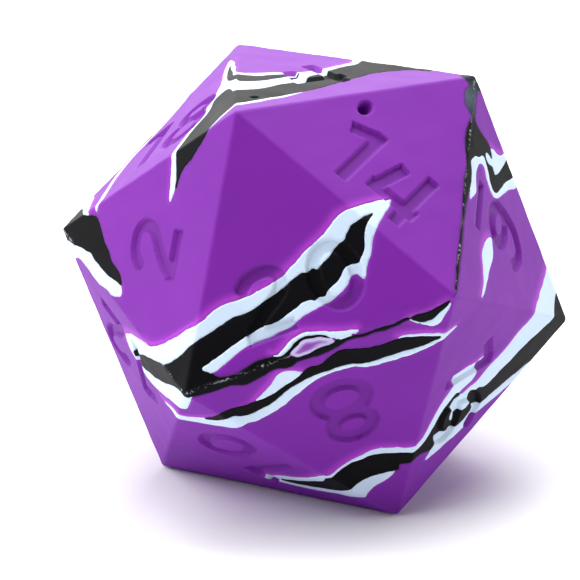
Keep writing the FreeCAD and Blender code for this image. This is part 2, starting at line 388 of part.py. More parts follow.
def numeral_cutter(number):
    x, y = FACES[number][3:]
    digits = [int(c) for c in str(number)]
    height, pitch = NUMERAL_SIZES.get(number, (NUMERAL_HEIGHT, DIGIT_PITCH))
    places = [x] if len(digits) == 1 else [x - pitch / 2, x + pitch / 2]
    flat = []
    for digit, at in zip(digits, places):
        flat += list(stroke_faces(digit, at, y, height))
    if number in (6, 9):
        width, stroke, right, below = UNDERLINE
        bar = [Vector(x + right + sx * width / 2, y + below + sy * stroke / 2, 0)
               for sx, sy in ((-1, -1), (1, -1), (1, 1), (-1, 1))]
        flat.append(polygon(bar))
    prisms = [face.extrude(Vector(0, 0, NUMERAL_DEPTH + 1)) for face in flat]
    cutter = prisms[0].fuse(prisms[1:]) if len(prisms) > 1 else prisms[0]
    middle, right, up, out = FRAMES[number]
    base = middle - out * NUMERAL_DEPTH
    cutter.Placement = FreeCAD.Placement(FreeCAD.Matrix(
        right.x, up.x, out.x, base.x, right.y, up.y, out.y, base.y, right.z, up.z, out.z, base.z,
        0, 0, 0, 1))
    return cutter


def ear_triangles(flat):
    """Cuts a simple flat outline, run anticlockwise, into triangles of its own points."""
    def turn(a, b, c):
        return (b[0] - a[0]) * (c[1] - a[1]) - (b[1] - a[1]) * (c[0] - a[0])

    left = list(range(len(flat)))
    triangles = []
    while len(left) > 3:
        best = None
        for i in range(len(left)):
            trio = left[i - 1], left[i], left[(i + 1) % len(left)]
            a, b, c = (flat[k] for k in trio)
            area = turn(a, b, c)
            if area <= 1e-12:
                continue
            rest = (flat[k] for k in left if k not in trio)
            if any(turn(a, b, p) >= 0 and turn(b, c, p) >= 0 and turn(c, a, p) >= 0 for p in rest):
                continue
            quality = area / max(math.dist(a, c), math.dist(a, b), math.dist(b, c)) ** 2
            if best is None or quality > best[0]:
                best = quality, i, trio
        triangles.append(best[2])
        left.pop(best[1])
    return triangles + [tuple(left)]


def wedge(points):
    """Everything between the die's centre and an outline on its skin, and on outwards."""
    rays = [Vector(p).normalize() for p in points]
    axis = Vector(0, 0, 0)
    for ray in rays:
        axis += ray
    axis.normalize()
    side = axis.cross(Vector(0.3, 0.5, 0.8)).normalize()
    other = axis.cross(side)
    flat = [(ray.dot(side) / ray.dot(axis), ray.dot(other) / ray.dot(axis)) for ray in rays]
    area = sum(flat[i - 1][0] * q[1] - q[0] * flat[i - 1][1] for i, q in enumerate(flat))
    if area < 0:
        rays.reverse()
        flat.reverse()
    rim = [ray * REACH for ray in rays]
    centre = Vector(0, 0, 0)
    faces = [polygon([rim[i - 1], rim[i], centre]) for i in range(len(rim))]
    faces += [polygon([rim[k] for k in trio]) for trio in ear_triangles(flat)]
    return Part.makeSolid(Part.makeShell(faces))


def band_outline(stations, which):
    """Outline of a vein from its centre line; which is 3 for the white, 4 for the black."""
    stations = [s for s in stations if s[which] > 0]
    middles = [on_face(*s[:3]) for s in stations]
    one_side, other_side = [], []
    for i, station in enumerate(stations):
        along = middles[min(i + 1, len(middles) - 1)] - middles[max(i - 1, 0)]
        across = along.cross(middles[i]).normalize() * station[which]
        one_side.append(middles[i] + across)
        other_side.append(middles[i] - across)
    return one_side + other_side[::-1]


def ball(radius):
    return Part.makeSphere(radius, Vector(0, 0, 0), Vector(0, 0, 1))


def numbered_die():
    die = rounded_icosahedron()
    cutters = [numeral_cutter(number) for number in FACES]
    pit = Part.makeSphere(PIT_RADIUS, on_face(14, -7.7, 4.5, -0.4))
    pit = pit.fuse(Part.makeCylinder(PIT_RADIUS * 0.8, 3, on_face(14, -7.7, 4.5, -0.4), FRAMES[14][3]))
    small_pit = Part.makeSphere(0.7, on_face(4, -13.7, -6.0, 0.1))
    return die.cut(cutters + [pit, small_pit])


def outlines():
    """Name, outline and inner radius of every coloured mass, the innermost colour first."""
    for name, spots in BLISTER_OUTLINES.items():
        yield name, [on_face(*s) for s in spots], BLISTER_DEPTH_RADIUS
    for name, spots in BLACK_OUTLINES.items():
        yield "black_" + name, [on_face(*s) for s in spots], BLACK_DEPTH_RADIUS
    for name, stations in BANDS.items():
        yield "black_" + name, band_outline(stations, 4), BLACK_DEPTH_RADIUS
    for name, spots in WHITE_OUTLINES.items():
        yield "white_" + name, [on_face(*s) for s in spots], WHITE_DEPTH_RADIUS
    for name, stations in BANDS.items():
        yield "white_" + name, band_outline(stations, 3), WHITE_DEPTH_RADIUS


def build():
    die = numbered_die()
    cap_wedge = wedge([CORNERS[name] for name in "DCBEf"])
    cap_wedge = cap_wedge.cut(ball(CAP_DEPTH_RADIUS))
    halves = {"cap": die.common(cap_wedge), "base": die.cut(cap_wedge)}
    pieces = {}
    for name, outline, inner_radius in outlines():
        tool = wedge(outline).cut(ball(inner_radius))
        for half in halves:
            body = halves[half]
            piece = body.common(tool)
            if piece.Volume < CRUMB:
                continue
            pieces[name + "_" + half] = piece
            halves[half] = body.cut(tool)
    for half, body in halves.items():
        pieces["purple_" + half] = body
    return pieces


for node, shape in build().items():
    shape.translate(Vector(0, 0, ACROSS_FLATS / 2))
    shape.exportStep("parts/" + node + ".step")
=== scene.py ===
import math

import bpy
import numpy as np
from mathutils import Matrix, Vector


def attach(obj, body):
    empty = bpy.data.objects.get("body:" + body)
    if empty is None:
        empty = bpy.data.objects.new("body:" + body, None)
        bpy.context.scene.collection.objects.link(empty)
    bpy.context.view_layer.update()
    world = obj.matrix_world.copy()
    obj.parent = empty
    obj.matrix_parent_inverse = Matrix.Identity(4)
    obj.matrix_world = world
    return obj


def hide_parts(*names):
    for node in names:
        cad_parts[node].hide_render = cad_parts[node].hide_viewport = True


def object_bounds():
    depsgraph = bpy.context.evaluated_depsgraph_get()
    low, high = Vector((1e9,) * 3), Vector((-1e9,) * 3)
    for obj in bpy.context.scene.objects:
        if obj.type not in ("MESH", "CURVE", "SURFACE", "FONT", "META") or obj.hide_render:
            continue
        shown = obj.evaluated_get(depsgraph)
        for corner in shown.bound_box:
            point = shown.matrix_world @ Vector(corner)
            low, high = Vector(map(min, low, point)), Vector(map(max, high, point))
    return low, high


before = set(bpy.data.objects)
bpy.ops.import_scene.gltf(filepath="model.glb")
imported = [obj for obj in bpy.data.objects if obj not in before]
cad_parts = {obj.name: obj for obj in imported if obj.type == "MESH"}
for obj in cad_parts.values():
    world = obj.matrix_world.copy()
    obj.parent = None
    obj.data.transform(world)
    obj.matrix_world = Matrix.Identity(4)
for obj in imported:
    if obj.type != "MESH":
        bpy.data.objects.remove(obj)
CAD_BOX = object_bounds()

# The die is worked out in millimetres about its own centre, then put in the frame's metres
MM = 0.001
ACROSS_FLATS = (CAD_BOX[1][2] - CAD_BOX[0][2]) / MM
HALF = ACROSS_FLATS / 2
CENTRE = np.array([0.0, 0.0, CAD_BOX[0][2] / MM + HALF])
GOLDEN = (1 + math.sqrt(5)) / 2
EDGE = ACROSS_FLATS * math.sqrt(3) / GOLDEN ** 2

GRID = 150                # skin cells along each edge of a face
EDGE_RADIUS = 0.9
NUMERAL_DEPTH = 0.6
NUMERAL_HEIGHT = 11.4
STROKE = 2.1
WALL_RUN = 0.25           # how far a numeral's wall runs inwards
BLISTER_DEPTH = 3.0       # under the skin
BLACK_DEPTH_RADIUS = 24.0
WHITE_DEPTH_RADIUS = 18.0
CAP_DEPTH_RADIUS = 14.0
CAP_FACES = (20, 14, 4, 18, 2)

# The twelve corners. A is at the middle of the cap; a, b ... are opposite A, B ...
UNIT_CORNERS = {
    "A": (0, 1, GOLDEN), "B": (0, -1, GOLDEN), "C": (GOLDEN, 0, 1),
    "D": (1, GOLDEN, 0), "E": (-GOLDEN, 0, 1), "F": (1, -GOLDEN, 0),
}

# numeral: corner at its top, corner at its left, corner at its right, middle of the numeral (x, y)
FACES = {
    1: ("a", "c", "b", 0.0, 1.0), 2: ("E", "B", "A", -0.6, 1.0), 3: ("F", "a", "e", 0.0, 1.0),
    4: ("f", "A", "D", 0.0, 1.0), 5: ("E", "f", "c", 0.0, 1.0), 6: ("e", "D", "C", -0.7, 1.6),
    7: ("d", "c", "a", 0.0, 1.0), 8: ("F", "C", "B", 0.3, 1.2), 9: ("D", "e", "b", 0.0, 1.6),
    10: ("d", "F", "B", 0.0, -1.3), 11: ("D", "b", "f", 0.0, -1.5), 12: ("d", "B", "E", 1.2, -0.6),
    13: ("f", "b", "c", 0.0, -1.5), 14: ("D", "A", "C", 0.0, -2.7), 15: ("E", "c", "d", 0.0, -1.5),
    16: ("e", "C", "F", 0.8, -1.8), 17: ("F", "d", "a", 0.0, -1.5), 18: ("f", "E", "A", -1.5, -0.7),
    19: ("e", "a", "b", 0.0, -1.5), 20: ("A", "B", "C", 0.2, -3.0),
}

# Outlines of the coloured masses, as runs of points on each face that they cross: (face, [(x, y), ...]),
# x to the numeral's right and y to its top, from the middle of the face
WHITE_OUTLINES = {
    "front": [
        (14, [(4.0, -4.9), (3.3, -6.4), (2.2, -8.7), (1.3, -10.9)]),
        (20, [(9.0, 4.6), (8.0, 4.2), (6.6, 3.3), (5.2, 2.5), (3.8, 1.9), (2.4, 1.3), (1.1, 0.6),
            (-0.3, 0.0), (-1.6, -0.6), (-3.2, -1.1), (-5.2, -1.4), (-7.2, -1.7), (-10.0, -1.6),
            (-12.2, -2.0), (-14.4, -2.8)]),
        (2, [(-11.3, -9.0), (-12.9, -6.2), (-14.0, -3.4)]),
        (12, [(-7.4, -10.9), (-4.4, -9.4), (-1.6, -7.7), (0.9, -5.7), (1.3, -3.8), (0.2, -1.9),
            (-4.0, -0.7), (-8.5, -1.7), (-12.4, -3.5), (-15.2, -4.9)]),
        (10, [(16.0, -6.2), (16.9, -8.4), (18.2, -10.6)]),
        (8, [(18.6, -10.9)]),
        (20, [(-18.0, -10.6), (-16.6, -9.6), (-15.0, -9.9), (-12.8, -9.2), (-10.2, -8.3), (-7.6, -8.2),
            (-5.0, -7.9), (-2.6, -7.7), (-1.4, -7.1), (0.0, -6.7), (1.6, -6.4), (3.6, -6.2), (5.2, -5.7),
            (6.5, -4.9), (7.5, -3.9), (8.3, -4.0), (9.0, -5.0), (9.9, -3.3), (11.1, -1.7), (12.1, 0.1)]),
        (14, [(5.4, -10.8), (4.9, -8.6), (4.6, -6.4)]),
    ],
    "lower": [
        (16, [(-13.7, -8.8)]),
        (8, [(-16.0, -5.0), (-13.4, -4.5), (-9.5, -4.5), (-5.0, -5.0), (-2.8, -6.0), (0.0, -6.2),
            (3.0, -5.8), (6.0, -4.5), (9.0, -3.3), (12.0, -2.7), (14.3, -2.8)]),
        (10, [(9.5, -9.4), (10.6, -6.6), (12.0, -3.8), (13.1, -1.7)]),
        (12, [(-12.0, -0.9), (-8.6, -0.3), (-12.0, -1.7), (-13.9, -2.3)]),
        (10, [(13.9, -3.6), (13.2, -6.2), (12.9, -9.6)]),
        (8, [(14.6, -5.4), (12.2, -5.6), (10.6, -6.7), (8.4, -8.0), (6.5, -9.3), (4.9, -9.0), (3.2, -7.9),
            (0.5, -7.4), (-2.5, -8.0), (-6.0, -6.8), (-10.0, -7.0), (-10.6, -8.1), (-13.1, -7.6),
            (-15.4, -6.6), (-16.7, -5.9)]),
    ],
    "right": [
        (16, [(6.4, 11.4), (7.1, 8.2), (7.8, 5.2), (8.1, 2.6), (8.5, 0.9), (9.3, 1.0), (9.9, -0.6),
            (10.5, -3.2), (11.2, -5.8), (11.3, -7.7), (10.0, -7.2), (9.0, -9.2)]),
        (8, [(-4.6, 13.1), (-2.9, 14.5), (-1.9, 15.2), (-0.6, 15.9), (1.1, 16.2), (2.5, 17.0)]),
        (10, [(-13.6, -10.6), (-13.2, -8.6), (-12.0, -6.4), (-10.6, -3.4), (-8.4, 0.0), (-5.8, 3.4),
            (-5.4, -0.6), (-6.6, -5.4), (-6.3, -9.6)]),
        (8, [(5.4, 10.9), (3.0, 10.1), (0.5, 9.7), (-1.6, 9.8), (-3.6, 10.5), (-5.2, 11.4)]),
        (16, [(6.5, -10.8), (5.7, -9.9), (4.1, -9.0), (1.9, -7.9), (0.1, -6.5), (-1.0, -5.4), (-2.3, -5.0),
            (-3.2, -3.8), (-3.4, -1.4), (-3.7, 0.9), (-2.2, 0.3), (-0.4, 0.0), (0.4, -1.2), (0.9, -2.9),
            (2.0, -4.2), (2.6, -3.6), (2.0, -2.7), (1.3, -1.0), (1.1, 0.7), (0.2, 2.3), (-0.9, 4.0),
            (-1.9, 6.2), (-3.1, 7.9), (-4.3, 9.4), (-5.1, 11.2)]),
        (6, [(5.5, 12.4), (3.0, 13.2), (0.2, 14.0), (-2.4, 14.8)]),
        (9, [(-15.0, -4.0), (-12.0, -6.2), (-8.0, -9.0)]),
        (19, [(7.4, 9.2), (4.6, 4.4), (2.6, -1.2), (1.2, -5.4), (-0.8, -1.0), (-3.0, 5.2), (-5.4, 10.4)]),
        (3, [(6.8, -10.4), (9.6, -7.0), (12.2, -3.2)]),
    ],
    "corner_d": [
        (6, [(-10.7, 3.6), (-8.4, 1.5), (-6.0, -0.5), (-4.4, -2.0), (-3.9, -3.4), (-5.3, -5.4),
            (-6.6, -6.6), (-6.0, -8.1), (-4.3, -8.7), (-2.4, -8.5), (-1.0, -8.2), (0.4, -8.8), (1.6, -9.8),
            (-0.5, -10.2), (-5.6, -10.7), (-9.0, -8.6), (-11.0, -5.4), (-11.7, -4.0), (-11.8, -3.0),
            (-12.6, -1.7)]),
        (9, [(-5.6, 11.8), (-2.0, 9.0), (0.6, 4.8), (0.0, 2.6), (-3.6, 3.6), (-7.6, 6.8)]),
    ],
    "drop_six": [
        (6, [(3.3, -2.7), (4.3, -3.9), (6.2, -4.7), (8.1, -4.9), (10.0, -4.2), (12.2, -3.7), (15.0, -4.0),
            (13.0, -3.1), (10.3, -2.5), (7.8, -2.1), (6.2, -1.6), (4.6, -2.0)]),
    ],
    "corner_c": [
        (8, [(-12.7, -10.3), (-13.1, -9.9), (-13.6, -9.3), (-14.3, -8.7), (-14.9, -8.2), (-15.5, -7.9),
            (-16.2, -7.9), (-16.9, -8.3), (-17.5, -8.9), (-18.1, -9.5), (-18.5, -10.0), (-18.9, -10.7),
            (-17.9, -10.7), (-17.0, -10.4), (-16.0, -10.2), (-15.0, -10.2), (-13.8, -10.4)]),
    ],
    "top": [
        (2, [(6.1, -0.7), (9.0, -0.1), (11.9, 0.5)]),
        (18, [(5.7, -9.8), (6.1, -7.0), (7.0, -4.4), (7.0, -1.5), (6.3, 1.8), (6.0, 5.5), (4.4, 9.5),
            (2.6, 13.2), (1.8, 16.6), (4.2, 14.4), (6.4, 11.2), (8.2, 8.4)]),
        (4, [(-7.6, 6.8), (-5.6, 5.5), (-3.0, 4.4), (-1.4, 3.4), (0.6, 3.0), (3.0, 3.2), (5.6, 3.9),
            (8.6, 4.6)]),
        (11, [(9.2, 4.6), (6.0, 5.8), (2.6, 7.8), (0.8, 10.4), (1.0, 14.0), (1.8, 17.2)]),
        (4, [(15.2, -5.0), (14.0, -3.6), (11.2, -2.4), (7.8, -2.2), (5.0, -2.9), (1.0, -4.2), (-3.0, -5.6),
            (-6.4, -7.0), (-9.0, -8.0), (-13.0, -8.3), (-17.2, -8.7)]),
        (18, [(16.6, -9.2), (15.0, -10.4)]),
        (2, [(15.4, -5.2), (12.0, -2.8), (9.4, -1.4), (7.6, -1.3)]),
    ],
    "corner_e": [
        (2, [(2.5, 17.0), (-1.0, 14.0), (-4.0, 11.0), (-5.4, 8.6), (-6.2, 7.2), (-7.4, 6.5), (-8.1, 6.6),
            (-8.3, 7.6), (-8.0, 8.8), (-7.4, 10.0)]),
        (12, [(6.8, -10.4), (8.5, -9.8), (10.3, -9.8), (12.6, -10.0), (14.8, -9.6)]),
        (15, [(1.6, 17.6), (-2.0, 16.7)]),
        (5, [(2.6, 16.4), (-2.0, 15.9)]),
        (18, [(-15.7, -6.2), (-14.8, -8.6), (-13.9, -10.8)]),
    ],
    "stripe": [
        (2, [(3.0, 15.4)]),
        (18, [(-12.0, -10.6), (-12.4, -7.4), (-12.9, -4.0), (-12.5, -0.8), (-10.6, 3.6), (-8.3, 7.6),
            (-5.6, 12.4), (-7.2, 7.4), (-9.6, 3.0), (-11.3, -0.6), (-11.7, -4.0), (-11.2, -7.6),
            (-10.8, -10.4)]),
    ],
    "lip": [
        (20, [(-6.6, -10.5), (-5.9, -10.7), (-5.2, -10.4), (-4.3, -9.9), (-3.5, -9.4), (-2.6, -9.1),
            (-1.6, -9.0), (-0.8, -9.1), (0.2, -9.4), (1.2, -9.7), (2.1, -10.1), (3.2, -10.5), (4.6, -10.9),
            (6.0, -11.2)]),
        (8, [(-5.4, -11.3), (-3.8, -11.1)]),
        (20, [(2.4, -11.3), (1.6, -10.9), (0.5, -10.4), (-0.6, -10.1), (-1.6, -10.0), (-2.6, -10.1),
            (-3.4, -10.4), (-4.2, -10.9), (-5.0, -11.2), (-5.9, -11.2)]),
    ],
}

BLACK_OUTLINES = {
    "front": [
        (14, [(3.8, -9.3), (3.2, -10.9)]),
        (20, [(10.0, 2.7), (9.0, 1.9), (8.1, 1.1), (7.2, 0.9), (6.2, 0.3), (5.6, -0.3), (4.6, -0.9),
            (3.3, -1.5), (2.7, -1.1), (1.9, -1.4), (0.9, -1.2), (-0.6, -1.7), (-2.6, -2.4), (-4.8, -2.9),
            (-6.4, -3.4), (-8.2, -3.8), (-10.4, -3.8), (-13.0, -4.4), (-15.5, -5.0)]),
        (2, [(-13.4, -10.6), (-15.2, -8.4), (-16.2, -6.4)]),
        (12, [(-11.6, -10.7), (-8.6, -8.7), (-5.6, -6.8), (-3.2, -4.9), (-1.8, -4.4), (-0.3, -2.5),
            (-2.6, -2.2), (-4.6, -2.7), (-8.0, -4.3), (-11.5, -6.4), (-15.0, -8.9), (-17.8, -10.5)]),
        (10, [(19.0, -10.9)]),
        (8, [(18.4, -10.6), (16.0, -10.3), (13.4, -10.2), (11.4, -9.5), (9.2, -9.8), (7.0, -10.3),
            (5.6, -9.8), (4.6, -9.8), (3.8, -10.2), (2.6, -10.2), (1.6, -10.1), (0.4, -9.9), (-1.2, -10.0),
            (-2.6, -10.4), (-4.2, -10.7), (-6.0, -10.3), (-7.6, -10.4), (-9.2, -10.1), (-10.8, -10.1),
            (-12.2, -10.4), (-13.1, -10.4), (-12.4, -10.8), (-10.6, -10.7), (-8.6, -10.9), (-6.6, -10.8),
            (-4.6, -11.2), (-2.9, -11.2)]),
        (20, [(2.0, -11.0), (1.4, -10.4), (0.6, -10.0), (-0.5, -9.7), (-1.4, -9.5), (-2.3, -9.6),
            (-3.2, -9.9), (-3.9, -10.4), (-4.7, -10.8), (-5.5, -11.0), (-6.2, -10.8), (-7.2, -10.5),
            (-8.6, -10.5), (-9.8, -10.7), (-11.1, -11.0), (-12.4, -11.1), (-13.6, -11.0), (-14.6, -10.7),
            (-15.5, -9.8), (-16.4, -8.9), (-14.2, -8.3), (-11.0, -7.3), (-8.6, -6.7), (-6.4, -6.4),
            (-4.4, -6.4), (-2.4, -5.8), (-0.4, -5.2), (0.9, -5.2), (1.6, -5.5), (2.1, -5.2), (3.0, -5.3),
            (3.5, -4.7), (4.7, -4.2), (5.7, -3.7), (6.6, -2.8), (7.6, -2.4), (9.0, -2.4), (10.4, -1.0),
            (10.9, 0.6), (11.7, 1.9)]),
    ],
    "lower": [
        (8, [(-15.9, -5.5), (-13.5, -5.2), (-10.0, -5.5), (-6.0, -5.6), (-4.2, -5.9), (-2.5, -6.7),
            (0.5, -6.7), (4.0, -6.7), (6.5, -6.0), (9.0, -4.9), (11.5, -4.3), (13.6, -4.3), (15.2, -4.9)]),
        (10, [(12.1, -10.2), (12.0, -8.6), (12.8, -6.6), (13.2, -9.0)]),
        (8, [(15.6, -6.3), (12.5, -6.0), (9.0, -6.3), (6.5, -6.9), (4.6, -7.5), (3.0, -8.4), (0.8, -8.4),
            (-1.0, -9.2), (-3.0, -9.4), (-5.2, -8.4), (-7.5, -7.9), (-10.5, -7.8), (-13.2, -7.0),
            (-15.0, -6.2)]),
    ],
    "right": [
        (16, [(-2.0, 17.2), (-1.2, 14.6), (0.0, 11.4), (1.3, 8.5), (2.3, 6.3), (3.1, 4.4), (3.0, 3.0),
            (2.7, 1.9), (3.5, 0.6), (4.8, 0.5), (5.5, -0.6), (5.3, -2.0), (6.0, -3.3), (5.4, -4.0),
            (4.0, -3.8), (2.5, -3.1), (1.3, -3.2), (0.9, -4.1), (1.6, -5.3), (3.1, -6.8), (5.4, -8.0),
            (7.0, -9.2), (7.8, -10.6)]),
        (8, [(-4.8, 12.2), (-3.0, 11.4), (-1.5, 10.7), (0.0, 10.4), (3.0, 10.6), (5.2, 11.3)]),
        (10, [(-7.2, -10.4), (-8.0, -7.8), (-7.6, -4.0), (-6.6, 0.6), (-8.8, -2.4), (-10.6, -6.4),
            (-11.3, -9.2)]),
        (8, [(4.0, 15.0), (1.0, 14.2), (-1.0, 14.4), (-2.9, 14.8), (-3.5, 13.9)]),
        (16, [(9.5, -10.4), (9.5, -8.8), (9.9, -7.2), (9.3, -6.4), (8.2, -6.4), (7.9, -5.4), (8.0, -3.4),
            (8.1, -1.4), (7.8, 0.1), (6.9, 1.2), (6.1, 2.3), (6.3, 3.4), (6.0, 5.2), (5.3, 8.5),
            (4.6, 12.0), (4.2, 14.8)]),
        (3, [(14.4, -6.0), (12.0, -9.4)]),
        (19, [(-3.4, 13.0), (-1.6, 9.0), (0.4, 4.4), (2.0, 8.4), (3.8, 12.2)]),
        (9, [(-12.6, -9.6), (-15.8, -7.6)]),
        (6, [(-1.6, 18.6), (0.6, 18.5)]),
    ],
    "corner_d": [
        (6, [(-11.3, 2.2), (-9.0, 0.4), (-6.6, -1.2), (-4.9, -2.7), (-5.5, -4.3), (-7.0, -5.4),
            (-8.2, -6.4), (-8.2, -7.3), (-7.1, -8.2), (-6.4, -9.5), (-4.8, -10.5), (-3.4, -10.1),
            (-1.6, -9.9), (0.2, -10.2), (1.8, -10.5), (4.2, -10.8), (8.4, -10.8), (12.4, -11.0),
            (16.4, -11.0), (18.8, -11.1)]),
        (14, [(19.4, -10.9), (16.5, -6.0), (13.6, -0.9), (10.8, 3.9), (9.2, 6.6), (8.2, 8.4), (7.4, 9.5),
            (6.4, 10.9), (5.0, 12.9), (4.3, 14.6), (3.9, 16.0), (3.0, 16.7), (2.1, 17.2), (1.3, 18.1),
            (0.6, 19.4), (0.3, 20.8)]),
        (4, [(17.9, -10.9)]),
        (11, [(0.6, 20.2)]),
        (9, [(0.6, 20.6), (-0.8, 19.8)]),
        (6, [(-17.6, -10.4), (-14.5, -10.7), (-12.2, -10.2), (-11.6, -7.9), (-11.3, -5.4), (-9.7, -4.4),
            (-9.8, -6.0), (-8.9, -6.4), (-8.1, -5.4), (-8.5, -4.1), (-7.8, -3.1), (-9.0, -2.0),
            (-11.0, -1.0), (-12.6, -0.1)]),
        (9, [(-5.8, 10.4), (-3.4, 8.0), (-1.2, 4.6), (-3.8, 5.4), (-7.0, 8.2)]),
    ],
    "corner_c": [
        (8, [(-12.9, -10.5), (-13.4, -9.9), (-14.0, -9.3), (-14.8, -9.0), (-15.6, -9.0), (-16.3, -9.3),
            (-17.0, -9.7), (-17.8, -10.1), (-18.5, -10.6), (-18.8, -11.0), (-17.6, -10.8), (-16.6, -10.7),
            (-15.5, -10.6), (-14.3, -10.7)]),
    ],
    "top": [
        (2, [(8.0, -1.5), (10.2, -1.1), (12.6, -0.3)]),
        (18, [(7.0, -9.5), (7.4, -6.5), (8.5, -3.6), (8.2, -0.8), (7.6, 1.4), (9.2, 2.4), (11.0, 1.4),
            (12.8, -0.6)]),
        (4, [(-13.0, -1.6), (-10.4, -2.1), (-7.4, -1.6), (-5.2, -1.6), (-2.6, -1.0), (-0.7, 0.3),
            (0.7, 0.9), (3.2, 1.8), (5.6, 2.7), (9.0, 3.4)]),
        (11, [(8.0, 6.0), (5.2, 7.6), (2.6, 9.6), (2.0, 12.8), (2.8, 16.0)]),
        (4, [(15.6, -5.9), (13.9, -4.0), (11.1, -3.0), (7.8, -2.8), (5.0, -3.6), (1.0, -4.9), (-3.0, -6.2),
            (-8.0, -7.2), (-12.0, -7.4), (-16.4, -7.6)]),
        (18, [(16.6, -8.2), (15.0, -9.4), (14.0, -10.8)]),
        (2, [(16.0, -6.0), (13.0, -4.0), (10.5, -2.2)]),
    ],
    "crown": [
        (4, [(-10.9, 3.0), (-8.5, 1.8), (-4.5, 1.8), (-1.0, 2.6), (-4.5, 3.6), (-7.4, 4.6)]),
        (18, [(8.6, 7.2), (6.8, 9.4), (4.8, 12.2), (3.2, 14.8), (5.0, 10.2), (7.6, 6.4), (10.4, 4.6)]),
    ],
    "corner_e": [
        (2, [(2.5, 17.8), (2.7, 15.6), (1.6, 14.2), (-0.6, 12.6), (-2.2, 10.9), (-3.5, 9.6), (-4.7, 7.9),
            (-5.9, 7.0), (-6.6, 6.9), (-6.1, 7.9), (-5.8, 9.2), (-5.2, 10.8), (-4.4, 12.6), (-3.4, 14.3),
            (-2.7, 15.2), (-2.4, 16.8)]),
        (12, [(18.2, -10.4)]),
        (15, [(1.2, 20.4), (-1.0, 19.6)]),
        (5, [(1.5, 18.8), (-1.4, 18.2)]),
        (18, [(-17.0, -8.4), (-16.0, -9.8), (-15.2, -11.0)]),
    ],
}

BLISTER_OUTLINES = {
    "blister": [
        (20, [(-4.2, -11.2), (-3.8, -10.8), (-3.0, -10.4), (-2.2, -10.0), (-1.4, -9.9), (-0.6, -10.1),
            (0.5, -10.3), (1.5, -10.8), (2.2, -11.2)]),
        (8, [(-2.2, -11.2), (-1.2, -11.0), (0.0, -11.1), (1.4, -10.8), (2.5, -10.8), (3.4, -10.9)]),
    ],
}

# Veins as centre lines: (face, x, y, half width of the white, half width of the black)
BANDS = {
    "back": [
        (11, -3.0, -2.0, 0.3, 0.0), (11, 0.0, -5.5, 2.2, 1.0), (11, 3.5, -9.5, 3.0, 1.7),
        (13, -4.5, 7.0, 3.2, 1.9), (13, 0.0, 2.2, 3.0, 1.6), (13, 5.0, -1.2, 2.6, 1.4),
        (13, 10.5, -3.5, 2.4, 1.3), (5, 12.4, -9.0, 2.2, 1.1), (5, 13.0, -5.5, 1.4, 0.5),
        (5, 12.0, -2.4, 0.3, 0.0),
    ],
    "heel": [
        (15, 7.6, -2.6, 0.3, 0.0), (15, 4.6, -5.4, 1.6, 0.6), (15, 0.5, -8.6, 2.4, 1.2),
        (7, -8.0, 4.4, 2.6, 1.4), (7, -4.4, 0.6, 2.8, 1.6), (7, 0.5, -2.4, 2.8, 1.6),
        (7, 6.0, -4.6, 3.2, 2.0), (7, 11.0, -8.0, 2.8, 1.6), (1, -5.4, 12.4, 2.2, 1.0),
        (1, -2.4, 10.0, 1.4, 0.5), (1, 1.0, 9.4, 0.3, 0.0),
    ],
}

# Numerals as strokes on a box 0..1 wide and 0..1 high: ("bar", x0, y0, x1, y1) from middle of end to
# middle of end, ("ring", x, y, rx, ry) to the middle of the stroke, and ("curve", points)
DIGITS = {
    0: (7.8, [("ring", 0.5, 0.5, 0.375, 0.395)]),
    1: (5.4, [("bar", 0.79, 0.0, 0.79, 0.97), ("bar", 0.03, 0.74, 0.75, 0.88)]),
    2: (7.6, [("curve", [(0.15, 0.72), (0.31, 0.82), (0.51, 0.865), (0.72, 0.86), (0.88, 0.78), (0.9, 0.66),
                         (0.82, 0.55), (0.67, 0.46), (0.48, 0.375), (0.30, 0.28), (0.17, 0.18),
                         (0.11, 0.06)]),
              ("bar", -0.05, 0.075, 0.92, 0.075)]),
    3: (7.6, [("curve", [(0.08, 0.8), (0.3, 0.89), (0.62, 0.88), (0.82, 0.72), (0.66, 0.56), (0.36, 0.53)]),
              ("curve", [(0.36, 0.53), (0.72, 0.48), (0.85, 0.28), (0.66, 0.12), (0.36, 0.1),
                         (0.06, 0.22)])]),
    4: (8.4, [("bar", 0.25, 0.8, 0.06, 0.22), ("bar", -0.06, 0.276, 0.94, 0.276),
              ("bar", 0.73, -0.01, 0.73, 0.94)]),
    5: (7.6, [("bar", 0.16, 0.9, 0.92, 0.9), ("bar", 0.22, 0.98, 0.2, 0.5),
              ("curve", [(0.2, 0.55), (0.5, 0.62), (0.8, 0.5), (0.84, 0.28), (0.62, 0.12), (0.34, 0.1),
                         (0.06, 0.2)])]),
    6: (8.4, [("ring", 0.54, 0.28, 0.35, 0.18), ("curve", [(0.94, 0.78), (0.62, 0.885), (0.33, 0.77),
                                                           (0.2, 0.54), (0.19, 0.28)])]),
    7: (7.6, [("bar", 0.04, 0.9, 0.98, 0.9), ("bar", 0.84, 0.86, 0.34, 0.0)]),
    8: (8.8, [("ring", 0.5, 0.297, 0.405, 0.23), ("ring", 0.5, 0.735, 0.325, 0.182)]),
    9: (8.4, [("ring", 0.46, 0.72, 0.35, 0.18), ("curve", [(0.06, 0.22), (0.38, 0.115), (0.67, 0.23),
                                                           (0.8, 0.46), (0.81, 0.72)])]),
}
DIGIT_PITCH = 9.3
NUMERAL_SIZES = {20: (10.4, 10.4)}   # height and pitch, where a numeral isn't the usual size
UNDERLINE = (8.4, 1.6, 1.3, -8.5)    # under the 6 and the 9: width, stroke, middle from the digit's (x, y)

